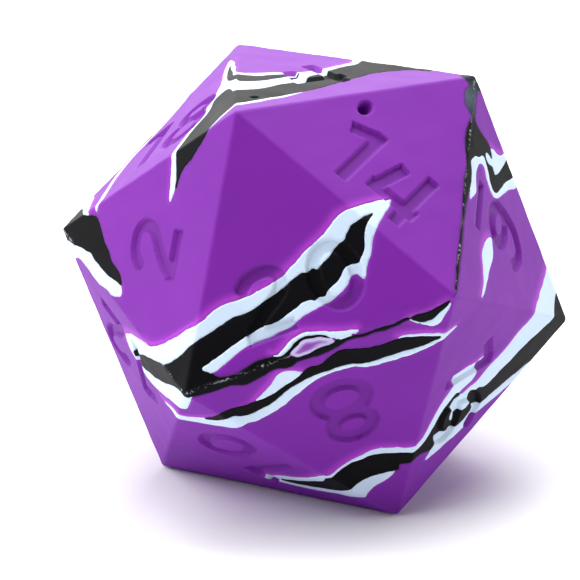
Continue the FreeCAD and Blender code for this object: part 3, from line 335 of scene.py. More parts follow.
# Air-bubble pits: face, middle, half sizes, depth
PITS = [(14, -7.7, 4.5, 0.95, 1.35, 2.2), (4, -13.7, -6.0, 0.6, 0.6, 0.6)]
PIT_LIP = 1.15            # where a pit starts, in half sizes from its middle
PIT_WALL = 0.75           # how far its wall runs inwards, in half sizes

SEAM = ["D", "C", "B", "E", "f"]   # the cap and the base are knit together along these corners
SEAM_FLASH = 0.05         # height of the ragged bead along the line
SEAM_WIDTH = 0.3
SEAM_CREASE = 0.06        # a groove beside the line, its offset and its width
CREASE_OFFSET = 0.55
CREASE_WIDTH = 0.3
FLECK_AND_GLINT_REACH = 0.16        # white flecks, with painted glints, are torn into the black this near the knit line

LEAN = np.array([0.35, 0.0, -0.45])  # the white veins lean under the purple, to the other side from this
GLOW_REACH = 1.2          # white shows through the purple this far from a vein
SHADE_REACH = 0.5         # and black this far
NUMERAL_FLOOR_PAINTED_SHADE = 0.2         # painted shade: the numerals' floors are this much darker
SKIN_WAVE = 0.015         # faint unevenness of the whole skin
RIM_INSET = 0.3           # a pale rim just inside the blister: white showing through, with a painted highlight
RIM_WIDTH = 0.28
HAZE_SPOT = (14, 1.5, 18.8)  # a milky spot in the black: face, x, y
HAZE_REACH = 0.0042       # metres

PURPLE, PURPLE_SHADE = (0.190, 0.0126, 0.350), (0.172, 0.0108, 0.322)
WHITE, WHITE_SHADE = (0.64, 0.77, 0.93), (0.58, 0.71, 0.88)
BLACK, BLACK_SHADE = (0.0012, 0.0012, 0.002), (0.003, 0.003, 0.005)
# colours of one rubber showing through another; the two over black also carry painted shade on the
# numerals' floors
PURPLE_OVER_WHITE = (0.50, 0.055, 0.66)
PURPLE_OVER_BLACK_AND_PAINTED_SHADE = (0.02, 0.003, 0.03)
WHITE_OVER_BLACK_AND_PAINTED_SHADE = (0.22, 0.30, 0.42)
# white flecks with painted glints at the knit line
WHITE_FLECK_AND_GLINT = (0.42, 0.46, 0.50)
BLACK_HAZE = (0.075, 0.10, 0.13)
BLISTER, BLISTER_SHADE = (0.26, 0.05, 0.40), (0.20, 0.03, 0.30)
# the blister's pale rim, partly a painted highlight
BLISTER_RIM_AND_HIGHLIGHT = (0.60, 0.60, 0.85)

# Noise scales of the materials, per metre, and the height of the moulded grain in metres
CLOUDS, SHEEN, GRAIN, FLAKES, DRIFTS = 60.0, 220.0, 3500.0, 2200.0, 260.0
SHEEN_SPREAD = 0.06
GRAIN_HEIGHT = 0.00004

# name, azimuth, elevation, distance, size, power
LAMPS = [
    ("left_lamp", -90, 10, 1.2, 1.1, 11.2),
    ("high_lamp", -60, 60, 1.2, 1.1, 12.8),
    ("right_lamp", 120, 10, 1.2, 1.1, 7.9),
    ("back_lamp", 165, 70, 1.2, 1.1, 19.5),
]
# Makes only a sheen on the faces turned far from the view
GLOSS_LAMP = ("gloss_lamp", -165, 16, 1.2, 1.3, 18.5)
ROOM_LIGHT = 0.1          # brightness of the world as a light; the camera sees it white
FLOOR_SIZE = 2.2          # metres
FLOOR_GAP = 0.0002        # under the die, metres
CAMERA_VIEW = (6.87, 17.68)        # azimuth and elevation, degrees
CAMERA_DISTANCE = 0.46165
CAMERA_LENS = 195.15
CAMERA_AIM = (-0.00380, -0.00225)  # off the die's middle, to the right and upwards


def unit(rows):
    return rows / np.linalg.norm(rows, axis=-1, keepdims=True)


def corner_positions():
    """The twelve corners, with the 4 face on top and the 20 towards -Y."""
    plain = {name: np.array(xyz, float) * EDGE / 2 for name, xyz in UNIT_CORNERS.items()}
    plain.update({name.lower(): -xyz for name, xyz in list(plain.items())})
    up = unit(plain["A"] + plain["D"] + plain["f"])
    front = plain["A"] + plain["B"] + plain["C"]
    front = unit(front - up * front.dot(up))
    turn = np.array([np.cross(up, front), -front, up])
    return {name: turn @ xyz for name, xyz in plain.items()}


CORNERS = corner_positions()


class Face:
    """One face: its corners, its middle and its right, up and outward directions."""
    def __init__(self, number):
        names = FACES[number][:3]
        self.corners = np.array([CORNERS[name] for name in names])
        self.middle = self.corners.mean(axis=0)
        self.up = unit(self.corners[0] - self.middle)
        self.out = unit(self.middle)
        self.right = np.cross(self.up, self.out)

    def at(self, x, y):
        return self.middle + self.right * x + self.up * y

    def flat(self, points):
        return (points - self.middle) @ np.array([self.right, self.up]).T


FACE = {number: Face(number) for number in FACES}
NORMALS = np.array([face.out for face in FACE.values()])


def onto_faces(points):
    """Moves points along their rays from the centre onto the sharp-edged die."""
    reach = (points @ NORMALS.T).max(axis=1)
    return points * (HALF / reach)[:, None]


def wobble(points, wavelength, seed):
    """Smooth noise of about unit size, from waves running in scattered directions."""
    rng = np.random.default_rng(seed)
    total = np.zeros(len(points))
    for _ in range(12):
        direction = unit(rng.normal(size=3))
        wave = 2 * math.pi / (wavelength * rng.uniform(0.6, 1.6))
        total += np.sin(points @ direction * wave + rng.uniform(0, 2 * math.pi))
    return total / math.sqrt(6)


# ---- outlines -----------------------------------------------------------------------------

def smooth_loop(points, steps=4):
    """A closed Catmull-Rom curve through the points, on the faces."""
    before, after, beyond = (np.roll(points, shift, axis=0) for shift in (1, -1, -2))
    parts = []
    for t in np.arange(steps) / steps:
        parts.append(0.5 * (2 * points + (after - before) * t
                            + (2 * before - 5 * points + 4 * after - beyond) * t ** 2
                            + (3 * points - before - 3 * after + beyond) * t ** 3))
    return onto_faces(np.stack(parts, axis=1).reshape(-1, 3))


def drawn_outline(runs):
    return smooth_loop(np.array([FACE[number].at(x, y) for number, spots in runs for x, y in spots]))


def band_outline(stations, which):
    """Outline of a vein from its centre line; which is 3 for the white, 4 for the black."""
    stations = [s for s in stations if s[which] > 0]
    middles = np.array([FACE[s[0]].at(*s[1:3]) for s in stations])
    along = np.gradient(middles, axis=0)
    across = unit(np.cross(along, middles)) * np.array([s[which] for s in stations])[:, None]
    return smooth_loop(np.concatenate([middles + across, (middles - across)[::-1]]))


def distance_inside(points, loop, margin=3.0):
    """Distance from an outline along the skin: positive inside it, negative outside."""
    axis = unit(unit(loop).sum(axis=0))
    spread = (unit(loop) @ axis).min() - margin / HALF
    field = np.full(len(points), -margin)
    near = np.flatnonzero(unit(points) @ axis > max(spread, 0.05))
    if not len(near):
        return field
    side = unit(np.cross(axis, [0.3, 0.5, 0.8]))
    tangent = np.array([side, np.cross(axis, side)])
    flat = points[near] @ tangent.T / (points[near] @ axis)[:, None]
    flat_loop = loop @ tangent.T / (loop @ axis)[:, None]
    inside = np.zeros(len(near), bool)
    closest = np.full(len(near), margin ** 2)
    for i in range(len(loop)):
        (x0, y0), (x1, y1) = flat_loop[i - 1], flat_loop[i]
        if y0 != y1:
            straddles = (flat[:, 1] > y0) != (flat[:, 1] > y1)
            inside ^= straddles & (flat[:, 0] < x0 + (x1 - x0) * (flat[:, 1] - y0) / (y1 - y0))
        start, run = loop[i - 1], loop[i] - loop[i - 1]
        offset = points[near] - start
        share = np.clip(offset @ run / max(run @ run, 1e-12), 0, 1)
        closest = np.minimum(closest, ((offset - share[:, None] * run) ** 2).sum(axis=1))
    field[near] = np.where(inside, 1, -1) * np.sqrt(closest)
    return field


# ---- numerals -----------------------------------------------------------------------------

def ellipse_points(x, y, rx, ry, count=48):
    turn = np.arange(count + 1) * 2 * math.pi / count
    return np.stack([x + rx * np.cos(turn), y + ry * np.sin(turn)], axis=1)


def spline_points(points, steps=8):
    """An open Catmull-Rom curve through the points."""
    padded = np.concatenate([2 * points[:1] - points[1:2], points, 2 * points[-1:] - points[-2:-1]])
    p0, p1, p2, p3 = (padded[i:len(padded) - 3 + i] for i in range(4))
    t = (np.arange(steps) / steps)[:, None, None]
    curve = 0.5 * (2 * p1 + (p2 - p0) * t + (2 * p0 - 5 * p1 + 4 * p2 - p3) * t ** 2
                   + (3 * p1 - p0 - 3 * p2 + p3) * t ** 3)
    return np.concatenate([curve.transpose(1, 0, 2).reshape(-1, 2), points[-1:]])


def strokes_of(number):
    """Every stroke of a face's numeral as (points, width), in millimetres on the face."""
    x_middle, y_middle = FACES[number][3:]
    height, pitch = NUMERAL_SIZES.get(number, (NUMERAL_HEIGHT, DIGIT_PITCH))
    digits = [int(c) for c in str(number)]
    places = [x_middle] if len(digits) == 1 else [x_middle - pitch / 2, x_middle + pitch / 2]
    strokes = []
    for digit, at in zip(digits, places):
        width, parts = DIGITS[digit]
        size = np.array([width, height])
        corner = np.array([at, y_middle]) - size / 2
        for kind, *values in parts:
            if kind == "bar":
                line = corner + np.array(values).reshape(2, 2) * size
            elif kind == "ring":
                middle = corner + np.array(values[:2]) * size
                line = ellipse_points(*middle, *(np.array(values[2:]) * size))
            else:
                line = spline_points(corner + np.array(values[0]) * size)
            strokes.append((line, STROKE))
    if number in (6, 9):
        width, stroke, right, below = UNDERLINE
        x, y = x_middle + right, y_middle + below
        strokes.append((np.array([(x - width / 2, y), (x + width / 2, y)]), stroke))
    return strokes


def distance_to_stroke(flat, points, width):
    """Signed distance to a stroke with square ends, negative inside it."""
    closest = np.full(len(flat), np.inf)
    closed = np.allclose(points[0], points[-1])
    last = len(points) - 2
    for i in range(last + 1):
        run = points[i + 1] - points[i]
        length = math.hypot(*run)
        along = (flat - points[i]) @ run / length
        across = np.abs((flat - points[i]) @ np.array([-run[1], run[0]])) / length
        past = np.maximum(-along, along - length)
        square = not closed and ((i == 0) | (i == last))
        if square:
            free = np.where(along > length / 2, i == last, i == 0)
        else:
            free = np.zeros(len(flat), bool)
        round_end = np.hypot(np.maximum(past, 0), across) - width / 2
        across = across - width / 2
        square_end = np.hypot(np.maximum(past, 0), np.maximum(across, 0)) + np.minimum(
            np.maximum(past, across), 0)
        closest = np.minimum(closest, np.where(free, square_end, round_end))
    return closest


def soft_step(value):
    value = np.clip(value, 0, 1)
    return value * value * (3 - 2 * value)


def inside_numeral(number, flat):
    """How far each point lies inside the face's numeral, negative outside it."""
    return np.max([-distance_to_stroke(flat, *stroke) for stroke in strokes_of(number)], axis=0)


def settle_numerals(points):
    """Slides the skin's points onto the tops and feet of the numerals' walls, so that they run smoothly."""
    on_plane = points @ NORMALS.T > HALF - 1e-3
    moved = points.copy()
    for n, (number, face) in enumerate(FACE.items()):
        mine = np.flatnonzero(on_plane[:, n] & (on_plane.sum(axis=1) == 1))
        flat = face.flat(points[mine])
        inside = inside_numeral(number, flat)
        for level in (0.0, WALL_RUN):
            near = np.abs(inside - level) < WALL_RUN * 0.45
            spots = flat[near]
            slope = [inside_numeral(number, spots + step) - inside_numeral(number, spots - step)
                     for step in (np.array([0.01, 0]), np.array([0, 0.01]))]
            slope = unit(np.array(slope).T + 1e-9)
            spots = spots + slope * (level - inside[near])[:, None]
            moved[mine[near]] = face.middle + spots @ np.array([face.right, face.up])
    return moved


# ---- the skin's grid ------------------------------------------------------------------------

def skin_grid():
    """Corner points of every small triangle of the sharp die, welded across the faces."""
    rows = [(i, j, GRID - i - j) for i in range(GRID + 1) for j in range(GRID + 1 - i)]
    index = {(i, j): n for n, (i, j, _) in enumerate(rows)}
    cells = []
    for i, j, k in rows:
        if k > 0:
            cells.append((index[i, j], index[i, j + 1], index[i + 1, j]))
        if k > 1:
            cells.append((index[i, j + 1], index[i + 1, j + 1], index[i + 1, j]))
    weights = np.array(rows) / GRID
    points = np.concatenate([weights @ face.corners for face in FACE.values()])
    cells = np.array(cells)
    triangles = np.concatenate([cells + n * len(rows) for n in range(len(FACE))])
    _, first, welded = np.unique(points.round(4), axis=0, return_index=True, return_inverse=True)
    points = points[first]
    triangles = welded.reshape(-1)[triangles]
    a, b, c = (points[triangles[:, n]] for n in range(3))
    inward = (np.cross(b - a, c - a) * a).sum(axis=1) < 0
    triangles[inward] = triangles[inward][:, ::-1]
    numbers = np.repeat(list(FACE), len(cells))
    return points, triangles, numbers


def neighbours(triangles, count):
    """For each directed edge of each triangle: its ends, its triangle and the one across it."""
    start = triangles.reshape(-1)
    end = np.roll(triangles, -1, axis=1).reshape(-1)
    owner = np.repeat(np.arange(len(triangles)), 3)
    forward, backward = start * count + end, end * count + start
    order = np.argsort(forward)
    across = owner[order[np.searchsorted(forward[order], backward)]]
    return start, end, owner, across


# ---- colours ---------------------------------------------------------------------------------

LEVELS = 5                       # layers of rubber from the skin to the centre


def layer_owners(marks):
    """The node that owns each layer under each triangle, from the skin inwards."""
    blister, black, white, half = marks
    purple = np.where(half == 0, NODE_ID["purple_cap"], NODE_ID["purple_base"])
    owners = np.repeat(purple[None], LEVELS, axis=0)
    owners[4] = NODE_ID["purple_base"]
    owners[:3, white > 0] = white[white > 0]
    owners[:2, black > 0] = black[black > 0]
    owners[:1, blister > 0] = blister[blister > 0]
    return owners


def colour_marks(fields, triangles, half):
    """For each triangle: the blister, black and white nodes drawn over it, or 0."""
    marks = {kind: np.zeros(len(triangles), int) for kind in ("blister", "black", "white")}
    for name, field in fields.items():
        kind = name.split("_")[0]
        inside = field[triangles].mean(axis=1) > 0
        for side, suffix in enumerate(("_cap", "_base")):
            node = NODE_ID.get(name + suffix, 0)
            marks[kind][inside & (half == side)] = node
    return [marks["blister"], marks["black"], marks["white"], half]


def untangle(marks, triangles, edges):
    """Repaints round each vertex where a node's skin touches itself at one point only."""
    start, _, owner, across = edges
    for _ in range(12):
        pinched = []
        for layer in layer_owners(marks)[:4]:
            border = layer[owner] != layer[across]
            keys = start[border] * len(NODE_ID) * 2 + layer[owner[border]]
            found, times = np.unique(keys, return_counts=True)
            pinched.append(found[times > 1] // (len(NODE_ID) * 2))
        pinched = np.unique(np.concatenate(pinched))
        if not len(pinched):
            return
        for vertex in pinched:
            around = np.flatnonzero((triangles == vertex).any(axis=1))
            for side in (0, 1):
                fan = around[marks[3][around] == side]
                if len(fan):
                    for mark in marks[:3]:
                        values, times = np.unique(mark[fan], return_counts=True)
                        mark[fan] = values[times.argmax()]


SLIDE_LIMIT = 0.45         # of a cell


def slide_to_borders(points, triangles, marks, fields):
    """Moves the skin's points by part of a cell, so that the colours' borders run smoothly."""
    start, _, owner, across = EDGES
    top = layer_owners(marks)[0]
    ridge, free = ridge_directions(points)
    border = np.unique(start[top[owner] != top[across]])
    border = border[free[border]]
    names = list(fields)
    values = np.array([fields[name][border] for name in names])
    covered = np.array([name.startswith("white") for name in names])[:, None]
    shade = np.array([fields[n] for n in names if not n.startswith("white")])[:, border].max(axis=0)
    reach = np.abs(values) + np.where(covered & (shade > 0.3 * CELL)[None], 99, 0)
    pick = reach.argmin(axis=0)
    a, b, c = (points[triangles[:, n]] for n in range(3))
    normal = np.cross(b - a, c - a)
    area2 = (normal ** 2).sum(axis=1)[:, None]
    moved = points.copy()
    for k in np.unique(pick):
        mine = border[pick == k]
        field = fields[names[k]]
        touched = np.flatnonzero(np.isin(triangles, mine).any(axis=1))
        tri = triangles[touched]
        fa, fb, fc = (field[tri[:, n]][:, None] for n in range(3))
        pa, pb, pc = a[touched], b[touched], c[touched]
        slope = np.cross(normal[touched], fa * (pc - pb) + fb * (pa - pc) + fc * (pb - pa)) / area2[touched]
        total = np.zeros_like(points)
        for n in range(3):
            np.add.at(total, tri[:, n], slope)
        uses = np.bincount(tri.reshape(-1), minlength=len(points))
        slope = total[mine] / uses[mine][:, None]
        steep = (slope ** 2).sum(axis=1)[:, None]
        shift = -field[mine][:, None] * slope / np.maximum(steep, 0.05)
        length = np.linalg.norm(shift, axis=1)[:, None]
        shift *= np.minimum(1, SLIDE_LIMIT * CELL / np.maximum(length, 1e-9))
        along = ridge[mine]
        on_ridge = (along ** 2).sum(axis=1) > 0
        kept = (shift * along).sum(axis=1)[:, None] * along
        moved[mine] += np.where(on_ridge[:, None], kept, shift)
    return onto_faces(moved)


def ridge_directions(points):
    """Direction along the die's edge that each point lies on, and which points are free to slide."""
    reach = points @ NORMALS.T
    on_plane = reach > HALF - 1e-3
    ridge = np.zeros_like(points)
    shared = np.flatnonzero(on_plane.sum(axis=1) == 2)
    for vertex in shared:
        one, other = NORMALS[on_plane[vertex]]
        ridge[vertex] = unit(np.cross(one, other))
    return ridge, on_plane.sum(axis=1) <= 2


# ---- the skin's shape --------------------------------------------------------------------------

def nearest_in_triangle(flat, corners):
    """Nearest point of a flat triangle to each point."""
    best = flat.copy()
    distance = np.zeros(len(flat))
    outside = np.zeros(len(flat), bool)
    for n in range(3):
        start, run = corners[n], corners[(n + 1) % 3] - corners[n]
        inward = np.array([-run[1], run[0]])
        inward *= np.sign(inward @ (corners[(n + 2) % 3] - start))
        outside |= (flat - start) @ inward < 0
    distance[outside] = np.inf
    for n in range(3):
        start, run = corners[n], corners[(n + 1) % 3] - corners[n]
        share = np.clip((flat - start) @ run / (run @ run), 0, 1)
        spot = start + share[:, None] * run
        gap = np.linalg.norm(flat - spot, axis=1)
        closer = outside & (gap < distance)
        best[closer] = spot[closer]
        distance[closer] = gap[closer]
    return best


def seam_distance(points):
    """Distance from the five-sided knit line."""
    distance = np.full(len(points), np.inf)
    for one, other in zip(SEAM, SEAM[1:] + SEAM[:1]):
        start, run = CORNERS[one], CORNERS[other] - CORNERS[one]
        share = np.clip((points - start) @ run / (run @ run), 0, 1)
        distance = np.minimum(distance, np.linalg.norm(points - start - share[:, None] * run, axis=1))
    return distance


def numeral_share(points):
    """How far into a numeral each point is: 0 on the face, 1 on the numeral's floor."""
    face_of = (points @ NORMALS.T).argmax(axis=1)
    share = np.zeros(len(points))
    for n, (number, face) in enumerate(FACE.items()):
        mine = np.flatnonzero(face_of == n)
        share[mine] = np.clip(inside_numeral(number, face.flat(points[mine])) / WALL_RUN, 0, 1)
    return share


def skin_shape(points):
    """The rounded skin with its sunken numerals, pits and knit line."""
    face_of = (points @ NORMALS.T).argmax(axis=1)
    skin = points.copy()
    outward = points.copy()
    sunk = NUMERAL_DEPTH * numeral_share(points)
    inset = 1 - EDGE_RADIUS / HALF
    for n, (number, face) in enumerate(FACE.items()):
        mine = np.flatnonzero(face_of == n)
        flat = face.flat(points[mine])
        held = nearest_in_triangle(flat, face.flat(face.corners) * inset)
        anchor = face.middle * inset + held @ np.array([face.right, face.up])
        outward[mine] = unit(points[mine] - anchor)
        skin[mine] = anchor + outward[mine] * EDGE_RADIUS
        for where, x, y, rx, ry, depth in PITS:
            if where == number:
                out = np.hypot((flat[:, 0] - x) / rx, (flat[:, 1] - y) / ry)
                sunk[mine] = np.maximum(sunk[mine], depth * soft_step((PIT_LIP - out) / PIT_WALL))
    seam = seam_distance(points)
    ragged = 0.5 + 0.5 * wobble(points, 2.2, 5)
    flash = SEAM_FLASH * ragged * np.exp(-(seam / SEAM_WIDTH) ** 2)
    groove = np.exp(-((seam - CREASE_OFFSET) / CREASE_WIDTH) ** 2)
    crease = SEAM_CREASE * groove * (0.6 + 0.4 * wobble(points, 3.0, 6))
    height = flash - crease - sunk + SKIN_WAVE * wobble(points, 5.0, 8)
    return skin + outward * height[:, None]


def bleed_colours(points):
    """Per point of the skin: white and black that show through with painted shade on the numerals' floors,
    a pale blister rim with a painted highlight, flecks with painted glints at the knit line, and 1.
    """
    white = np.max([distance_inside(points + LEAN, loop) for name, loop in OUTLINES.items()
                    if name.startswith("white")], axis=0)
    black = np.max([field for name, field in FIELDS.items() if name.startswith("black")], axis=0)
    glow = np.clip(1 + white / GLOW_REACH, 0, 1) ** 2
    rim = distance_inside(points, OUTLINES["blister"])
    # the blister's pale rim, partly a painted highlight
    glow[rim > 0] = np.exp(-((rim[rim > 0] - RIM_INSET) / RIM_WIDTH) ** 2)
    shade = np.clip(1 + black / SHADE_REACH, 0, 1) ** 2
    # painted shade on the numerals' floors
    shade = np.maximum(shade, NUMERAL_FLOOR_PAINTED_SHADE * numeral_share(points))
    # white flecks with painted glints along the knit line
    fleck_and_glint = np.exp(-(seam_distance(points) / FLECK_AND_GLINT_REACH) ** 2)
    return np.stack([glow, shade, fleck_and_glint, np.ones(len(points))], axis=1)


def piece_mesh(node, owners, layers, triangles):
    """Closed mesh of one node: its skin, its floors and the walls between."""
    start, end, owner, across = EDGES
    count = len(layers[0])
    faces, smooth = [], []
    for level in range(LEVELS):
        mine = owners[level] == node
        above = owners[level - 1] == node if level else np.zeros(len(triangles), bool)
        top = triangles[mine & ~above] + level * count
        faces.append(top)
        smooth.append(np.full(len(top), level == 0))
        if level:
            floor = triangles[above & ~mine][:, ::-1] + level * count
            faces.append(floor)
            smooth.append(np.zeros(len(floor), bool))
        if level < LEVELS - 1:
            wall = mine[owner] & ~mine[across]
            a, b = start[wall], end[wall]
            upper, lower = level * count, (level + 1) * count
            quads = np.stack([a + lower, b + lower, b + upper, a + upper], axis=1)
            halves = np.concatenate([quads[:, [0, 1, 2]], quads[:, [0, 2, 3]]])
            faces.append(halves)
            smooth.append(np.zeros(len(halves), bool))
    faces = np.concatenate(faces)
    smooth = np.concatenate(smooth)
    used, faces = np.unique(faces, return_inverse=True)
    places = np.concatenate(layers)[used]
    bleed_and_painted_light = np.concatenate([BLEED_AND_PAINTED_LIGHT] + [np.zeros_like(BLEED_AND_PAINTED_LIGHT)] * (LEVELS - 1))[used]
    return places, faces.reshape(-1, 3), smooth, bleed_and_painted_light


def make_piece(name, places, faces, smooth, bleed_and_painted_light, material):
    mesh = bpy.data.meshes.new(name)
    mesh.vertices.add(len(places))
    mesh.vertices.foreach_set("co", ((places + CENTRE) * MM).astype(np.float32).ravel())
    mesh.loops.add(faces.size)
    mesh.loops.foreach_set("vertex_index", faces.astype(np.int32).ravel())
    mesh.polygons.add(len(faces))
    mesh.polygons.foreach_set("loop_start", np.arange(0, faces.size, 3, dtype=np.int32))
    mesh.polygons.foreach_set("use_smooth", smooth)
    mesh.update(calc_edges=True)
    # per point: white and black showing through, painted shade on the numerals' floors, the blister rim's
    # painted highlight and the knit line's painted glints
    colours = mesh.color_attributes.new("bleed_and_painted_light", "FLOAT_COLOR", "POINT")
    colours.data.foreach_set("color", bleed_and_painted_light.astype(np.float32).ravel())
    mesh.validate()
    mesh.materials.append(material)
    piece = bpy.data.objects.new(name, mesh)
    bpy.context.scene.collection.objects.link(piece)
    return piece


# ---- materials -------------------------------------------------------------------------------------

def silicone(name, base, shade, roughness, grain, gloss_level, seeps):
    """Soft cast silicone: cloudy colour, fine moulded grain and a faint skin of gloss.

    Each seep is (channel of the colour attribute or "Haze", colour, amount, patchy): another rubber that
    shows through, some with painted shade, painted glints and a painted highlight."""
    material = bpy.data.materials.new(name)
    material.use_nodes = True
    nodes, links = material.node_tree.nodes, material.node_tree.links
    surface = nodes["Principled BSDF"]
    place = nodes.new("ShaderNodeTexCoord")

    def noise(scale, detail=3.0):
        node = nodes.new("ShaderNodeTexNoise")
        node.inputs["Scale"].default_value = scale
        node.inputs["Detail"].default_value = detail
        links.new(place.outputs["Object"], node.inputs["Vector"])
        return node.outputs["Fac"]

    def spread(value, low, high, to_low=0.0, to_high=1.0):
        node = nodes.new("ShaderNodeMapRange")
        ends = {"From Min": low, "From Max": high, "To Min": to_low, "To Max": to_high}
        for socket, number in ends.items():
            node.inputs[socket].default_value = number
        links.new(value, node.inputs["Value"])
        return node.outputs["Result"]

    def times(one, other):
        node = nodes.new("ShaderNodeMath")
        node.operation = "MULTIPLY"
        links.new(one, node.inputs[0])
        links.new(other, node.inputs[1])
        return node.outputs[0]

    def nearness(spot, reach):
        """1 at a spot of the die, falling to 0 at its reach."""
        node = nodes.new("ShaderNodeVectorMath")
        node.operation = "DISTANCE"
        node.inputs[1].default_value = spot
        links.new(place.outputs["Object"], node.inputs[0])
        return spread(node.outputs["Value"], reach, 0.0)

    clouds = nodes.new("ShaderNodeValToRGB")
    clouds.color_ramp.elements[0].position = 0.3
    clouds.color_ramp.elements[0].color = (*shade, 1)
    clouds.color_ramp.elements[1].position = 0.7
    clouds.color_ramp.elements[1].color = (*base, 1)
    links.new(noise(CLOUDS), clouds.inputs["Fac"])
    colour = clouds.outputs["Color"]

    bleed_and_painted_light = nodes.new("ShaderNodeAttribute")
    bleed_and_painted_light.attribute_name = "bleed_and_painted_light"
    channels = nodes.new("ShaderNodeSeparateColor")
    links.new(bleed_and_painted_light.outputs["Color"], channels.inputs["Color"])
    for channel, tint, amount, patchy in seeps:
        source = nearness(haze_spot, HAZE_REACH) if channel == "Haze" else channels.outputs[channel]
        factor = spread(source, 0.0, 1.0, 0.0, amount)
        if patchy:
            factor = times(factor, spread(noise(FLAKES, 1.0), 0.5, 0.58))
            factor = times(factor, spread(noise(DRIFTS, 1.0), 0.46, 0.6))
        mix = nodes.new("ShaderNodeMix")
        mix.data_type = "RGBA"
        first, second, result = mix.inputs[6], mix.inputs[7], mix.outputs[2]   # its colour sockets
        second.default_value = (*tint, 1)
        links.new(factor, mix.inputs[0])
        links.new(colour, first)
        colour = result
    links.new(colour, surface.inputs["Base Color"])

    least, most = roughness - SHEEN_SPREAD, roughness + SHEEN_SPREAD
    links.new(spread(noise(SHEEN), 0.0, 1.0, least, most), surface.inputs["Roughness"])
    bump = nodes.new("ShaderNodeBump")
    bump.inputs["Strength"].default_value = grain
    bump.inputs["Distance"].default_value = GRAIN_HEIGHT
    links.new(noise(GRAIN, 4.0), bump.inputs["Height"])
    links.new(bump.outputs["Normal"], surface.inputs["Normal"])
    surface.inputs["Specular IOR Level"].default_value = gloss_level
    return material


haze_face, haze_x, haze_y = HAZE_SPOT
haze_spot = (FACE[haze_face].at(haze_x, haze_y) + CENTRE) * MM
SILICONE = {
    "purple": silicone("purple_silicone", PURPLE, PURPLE_SHADE, 0.6, 0.25, 0.22, [
        # Green: black showing through, and painted shade on the numerals' floors
        ("Red", PURPLE_OVER_WHITE, 0.55, False), ("Green", PURPLE_OVER_BLACK_AND_PAINTED_SHADE, 0.6, False)]),
    "blister": silicone("blister_silicone", BLISTER, BLISTER_SHADE, 0.5, 0.2, 0.2, [
        # Red: the blister's pale rim, partly a painted highlight
        ("Red", BLISTER_RIM_AND_HIGHLIGHT, 0.9, False)]),
    "white": silicone("white_silicone", WHITE, WHITE_SHADE, 0.55, 0.2, 0.15, [
        # Green: black showing through, and patchy painted shade on the numerals' floors
        ("Green", WHITE_OVER_BLACK_AND_PAINTED_SHADE, 0.45, True)]),
    "black": silicone("black_silicone", BLACK, BLACK_SHADE, 0.55, 0.3, 0.07, [
        # Blue: white flecks with painted glints along the knit line
        ("Blue", WHITE_FLECK_AND_GLINT, 0.9, True), ("Haze", BLACK_HAZE, 1.0, False)]),
}

# ---- the die ----------------------------------------------------------------------------------------

NODE_ID = {name: n + 1 for n, name in enumerate(sorted(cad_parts))}
NODE_ID[""] = 0
CELL = EDGE / GRID

POINTS, TRIANGLES, NUMBERS = skin_grid()
POINTS = settle_numerals(POINTS)
EDGES = neighbours(TRIANGLES, len(POINTS))
OUTLINES = {name: drawn_outline(runs) for name, runs in BLISTER_OUTLINES.items()}
OUTLINES.update({"black_" + name: drawn_outline(runs) for name, runs in BLACK_OUTLINES.items()})
OUTLINES.update({"black_" + name: band_outline(stations, 4) for name, stations in BANDS.items()})
OUTLINES.update({"white_" + name: drawn_outline(runs) for name, runs in WHITE_OUTLINES.items()})
OUTLINES.update({"white_" + name: band_outline(stations, 3) for name, stations in BANDS.items()})
RAGGED = 0.05 * wobble(POINTS, 3.0, 1) + 0.02 * wobble(POINTS, 0.8, 2)
FIELDS = {name: distance_inside(POINTS, loop) + RAGGED for name, loop in OUTLINES.items()}
MARKS = colour_marks(FIELDS, TRIANGLES, np.isin(NUMBERS, CAP_FACES, invert=True).astype(int))
untangle(MARKS, TRIANGLES, EDGES)
OWNERS = layer_owners(MARKS)
POINTS = slide_to_borders(POINTS, TRIANGLES, MARKS, FIELDS)
BLEED_AND_PAINTED_LIGHT = bleed_colours(POINTS)

RAYS = unit(POINTS)
LAYERS = [skin_shape(POINTS), POINTS - RAYS * BLISTER_DEPTH, RAYS * BLACK_DEPTH_RADIUS,
          RAYS * WHITE_DEPTH_RADIUS, RAYS * CAP_DEPTH_RADIUS]

for node in sorted(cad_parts):
    colour = node.split("_")[0]
    skin = piece_mesh(NODE_ID[node], OWNERS, LAYERS, TRIANGLES)
    piece = make_piece(node + "_skin", *skin, SILICONE[colour])
    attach(piece, "root")
    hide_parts(node)

# ---- floor, light and camera --------------------------------------------------------------------------

def plain_material(name, colour, roughness):
    material = bpy.data.materials.new(name)
    material.use_nodes = True
    surface = material.node_tree.nodes["Principled BSDF"]
    surface.inputs["Base Color"].default_value = (*colour, 1)
    surface.inputs["Roughness"].default_value = roughness
    return material


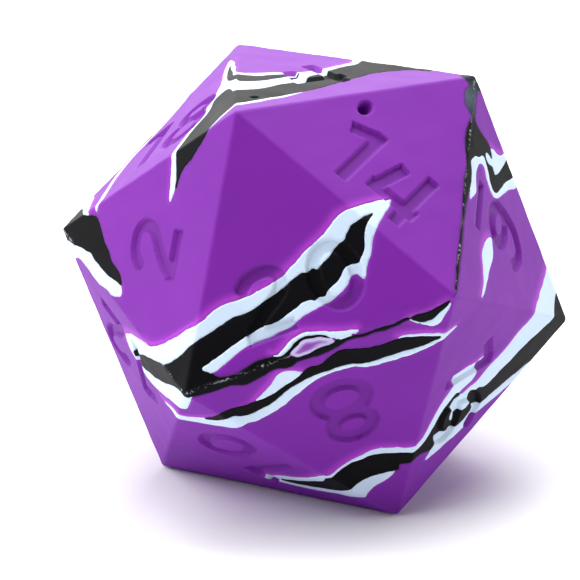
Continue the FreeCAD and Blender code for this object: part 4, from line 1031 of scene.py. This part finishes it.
def lamp(name, azimuth, elevation, distance, size, power):
    """A square soft lamp that faces the die."""
    light = bpy.data.lights.new(name, "AREA")
    light.size = size
    light.energy = power
    lamp_object = bpy.data.objects.new(name, light)
    away = direction_of(azimuth, elevation)
    lamp_object.location = TARGET + away * distance
    lamp_object.rotation_euler = (-away).to_track_quat("-Z", "Y").to_euler()
    bpy.context.scene.collection.objects.link(lamp_object)
    return lamp_object


def direction_of(azimuth, elevation):
    """Unit vector towards a viewer; azimuth 0 is in front, at -Y, and grows towards +X."""
    a, e = math.radians(azimuth), math.radians(elevation)
    return Vector((math.sin(a) * math.cos(e), -math.cos(a) * math.cos(e), math.sin(e)))


TARGET = Vector(CENTRE) * MM
bpy.ops.mesh.primitive_plane_add(size=FLOOR_SIZE, location=(0, 0, CAD_BOX[0][2] - FLOOR_GAP))
floor = bpy.context.object
floor.name = "floor"
floor.data.materials.append(plain_material("floor_paper", (0.93, 0.93, 0.93), 0.9))

for arguments in LAMPS:
    lamp(*arguments)
lamp(*GLOSS_LAMP).visible_diffuse = False
world = bpy.data.worlds.new("room")
world.use_nodes = True
room = world.node_tree.nodes["Background"]
room.inputs["Color"].default_value = (1, 1, 1, 1)
ray = world.node_tree.nodes.new("ShaderNodeLightPath")
brightness = world.node_tree.nodes.new("ShaderNodeMapRange")   # a white backdrop, but a dim room
brightness.inputs["To Min"].default_value = ROOM_LIGHT
brightness.inputs["To Max"].default_value = 1.0
world.node_tree.links.new(ray.outputs["Is Camera Ray"], brightness.inputs["Value"])
world.node_tree.links.new(brightness.outputs["Result"], room.inputs["Strength"])
bpy.context.scene.world = world
bpy.context.scene.view_settings.view_transform = "Standard"

camera_data = bpy.data.cameras.new("camera")
camera_data.lens = CAMERA_LENS
camera_data.sensor_width = 36.0
camera_data.clip_end = 20.0
camera = bpy.data.objects.new("camera", camera_data)
away = direction_of(*CAMERA_VIEW)
right = Vector((0, 0, 1)).cross(away).normalized()
above = away.cross(right)
camera.location = TARGET + away * CAMERA_DISTANCE
aim = TARGET + right * CAMERA_AIM[0] + above * CAMERA_AIM[1]
camera.rotation_euler = (aim - camera.location).to_track_quat("-Z", "Y").to_euler()
bpy.context.scene.collection.objects.link(camera)
bpy.context.scene.camera = camera
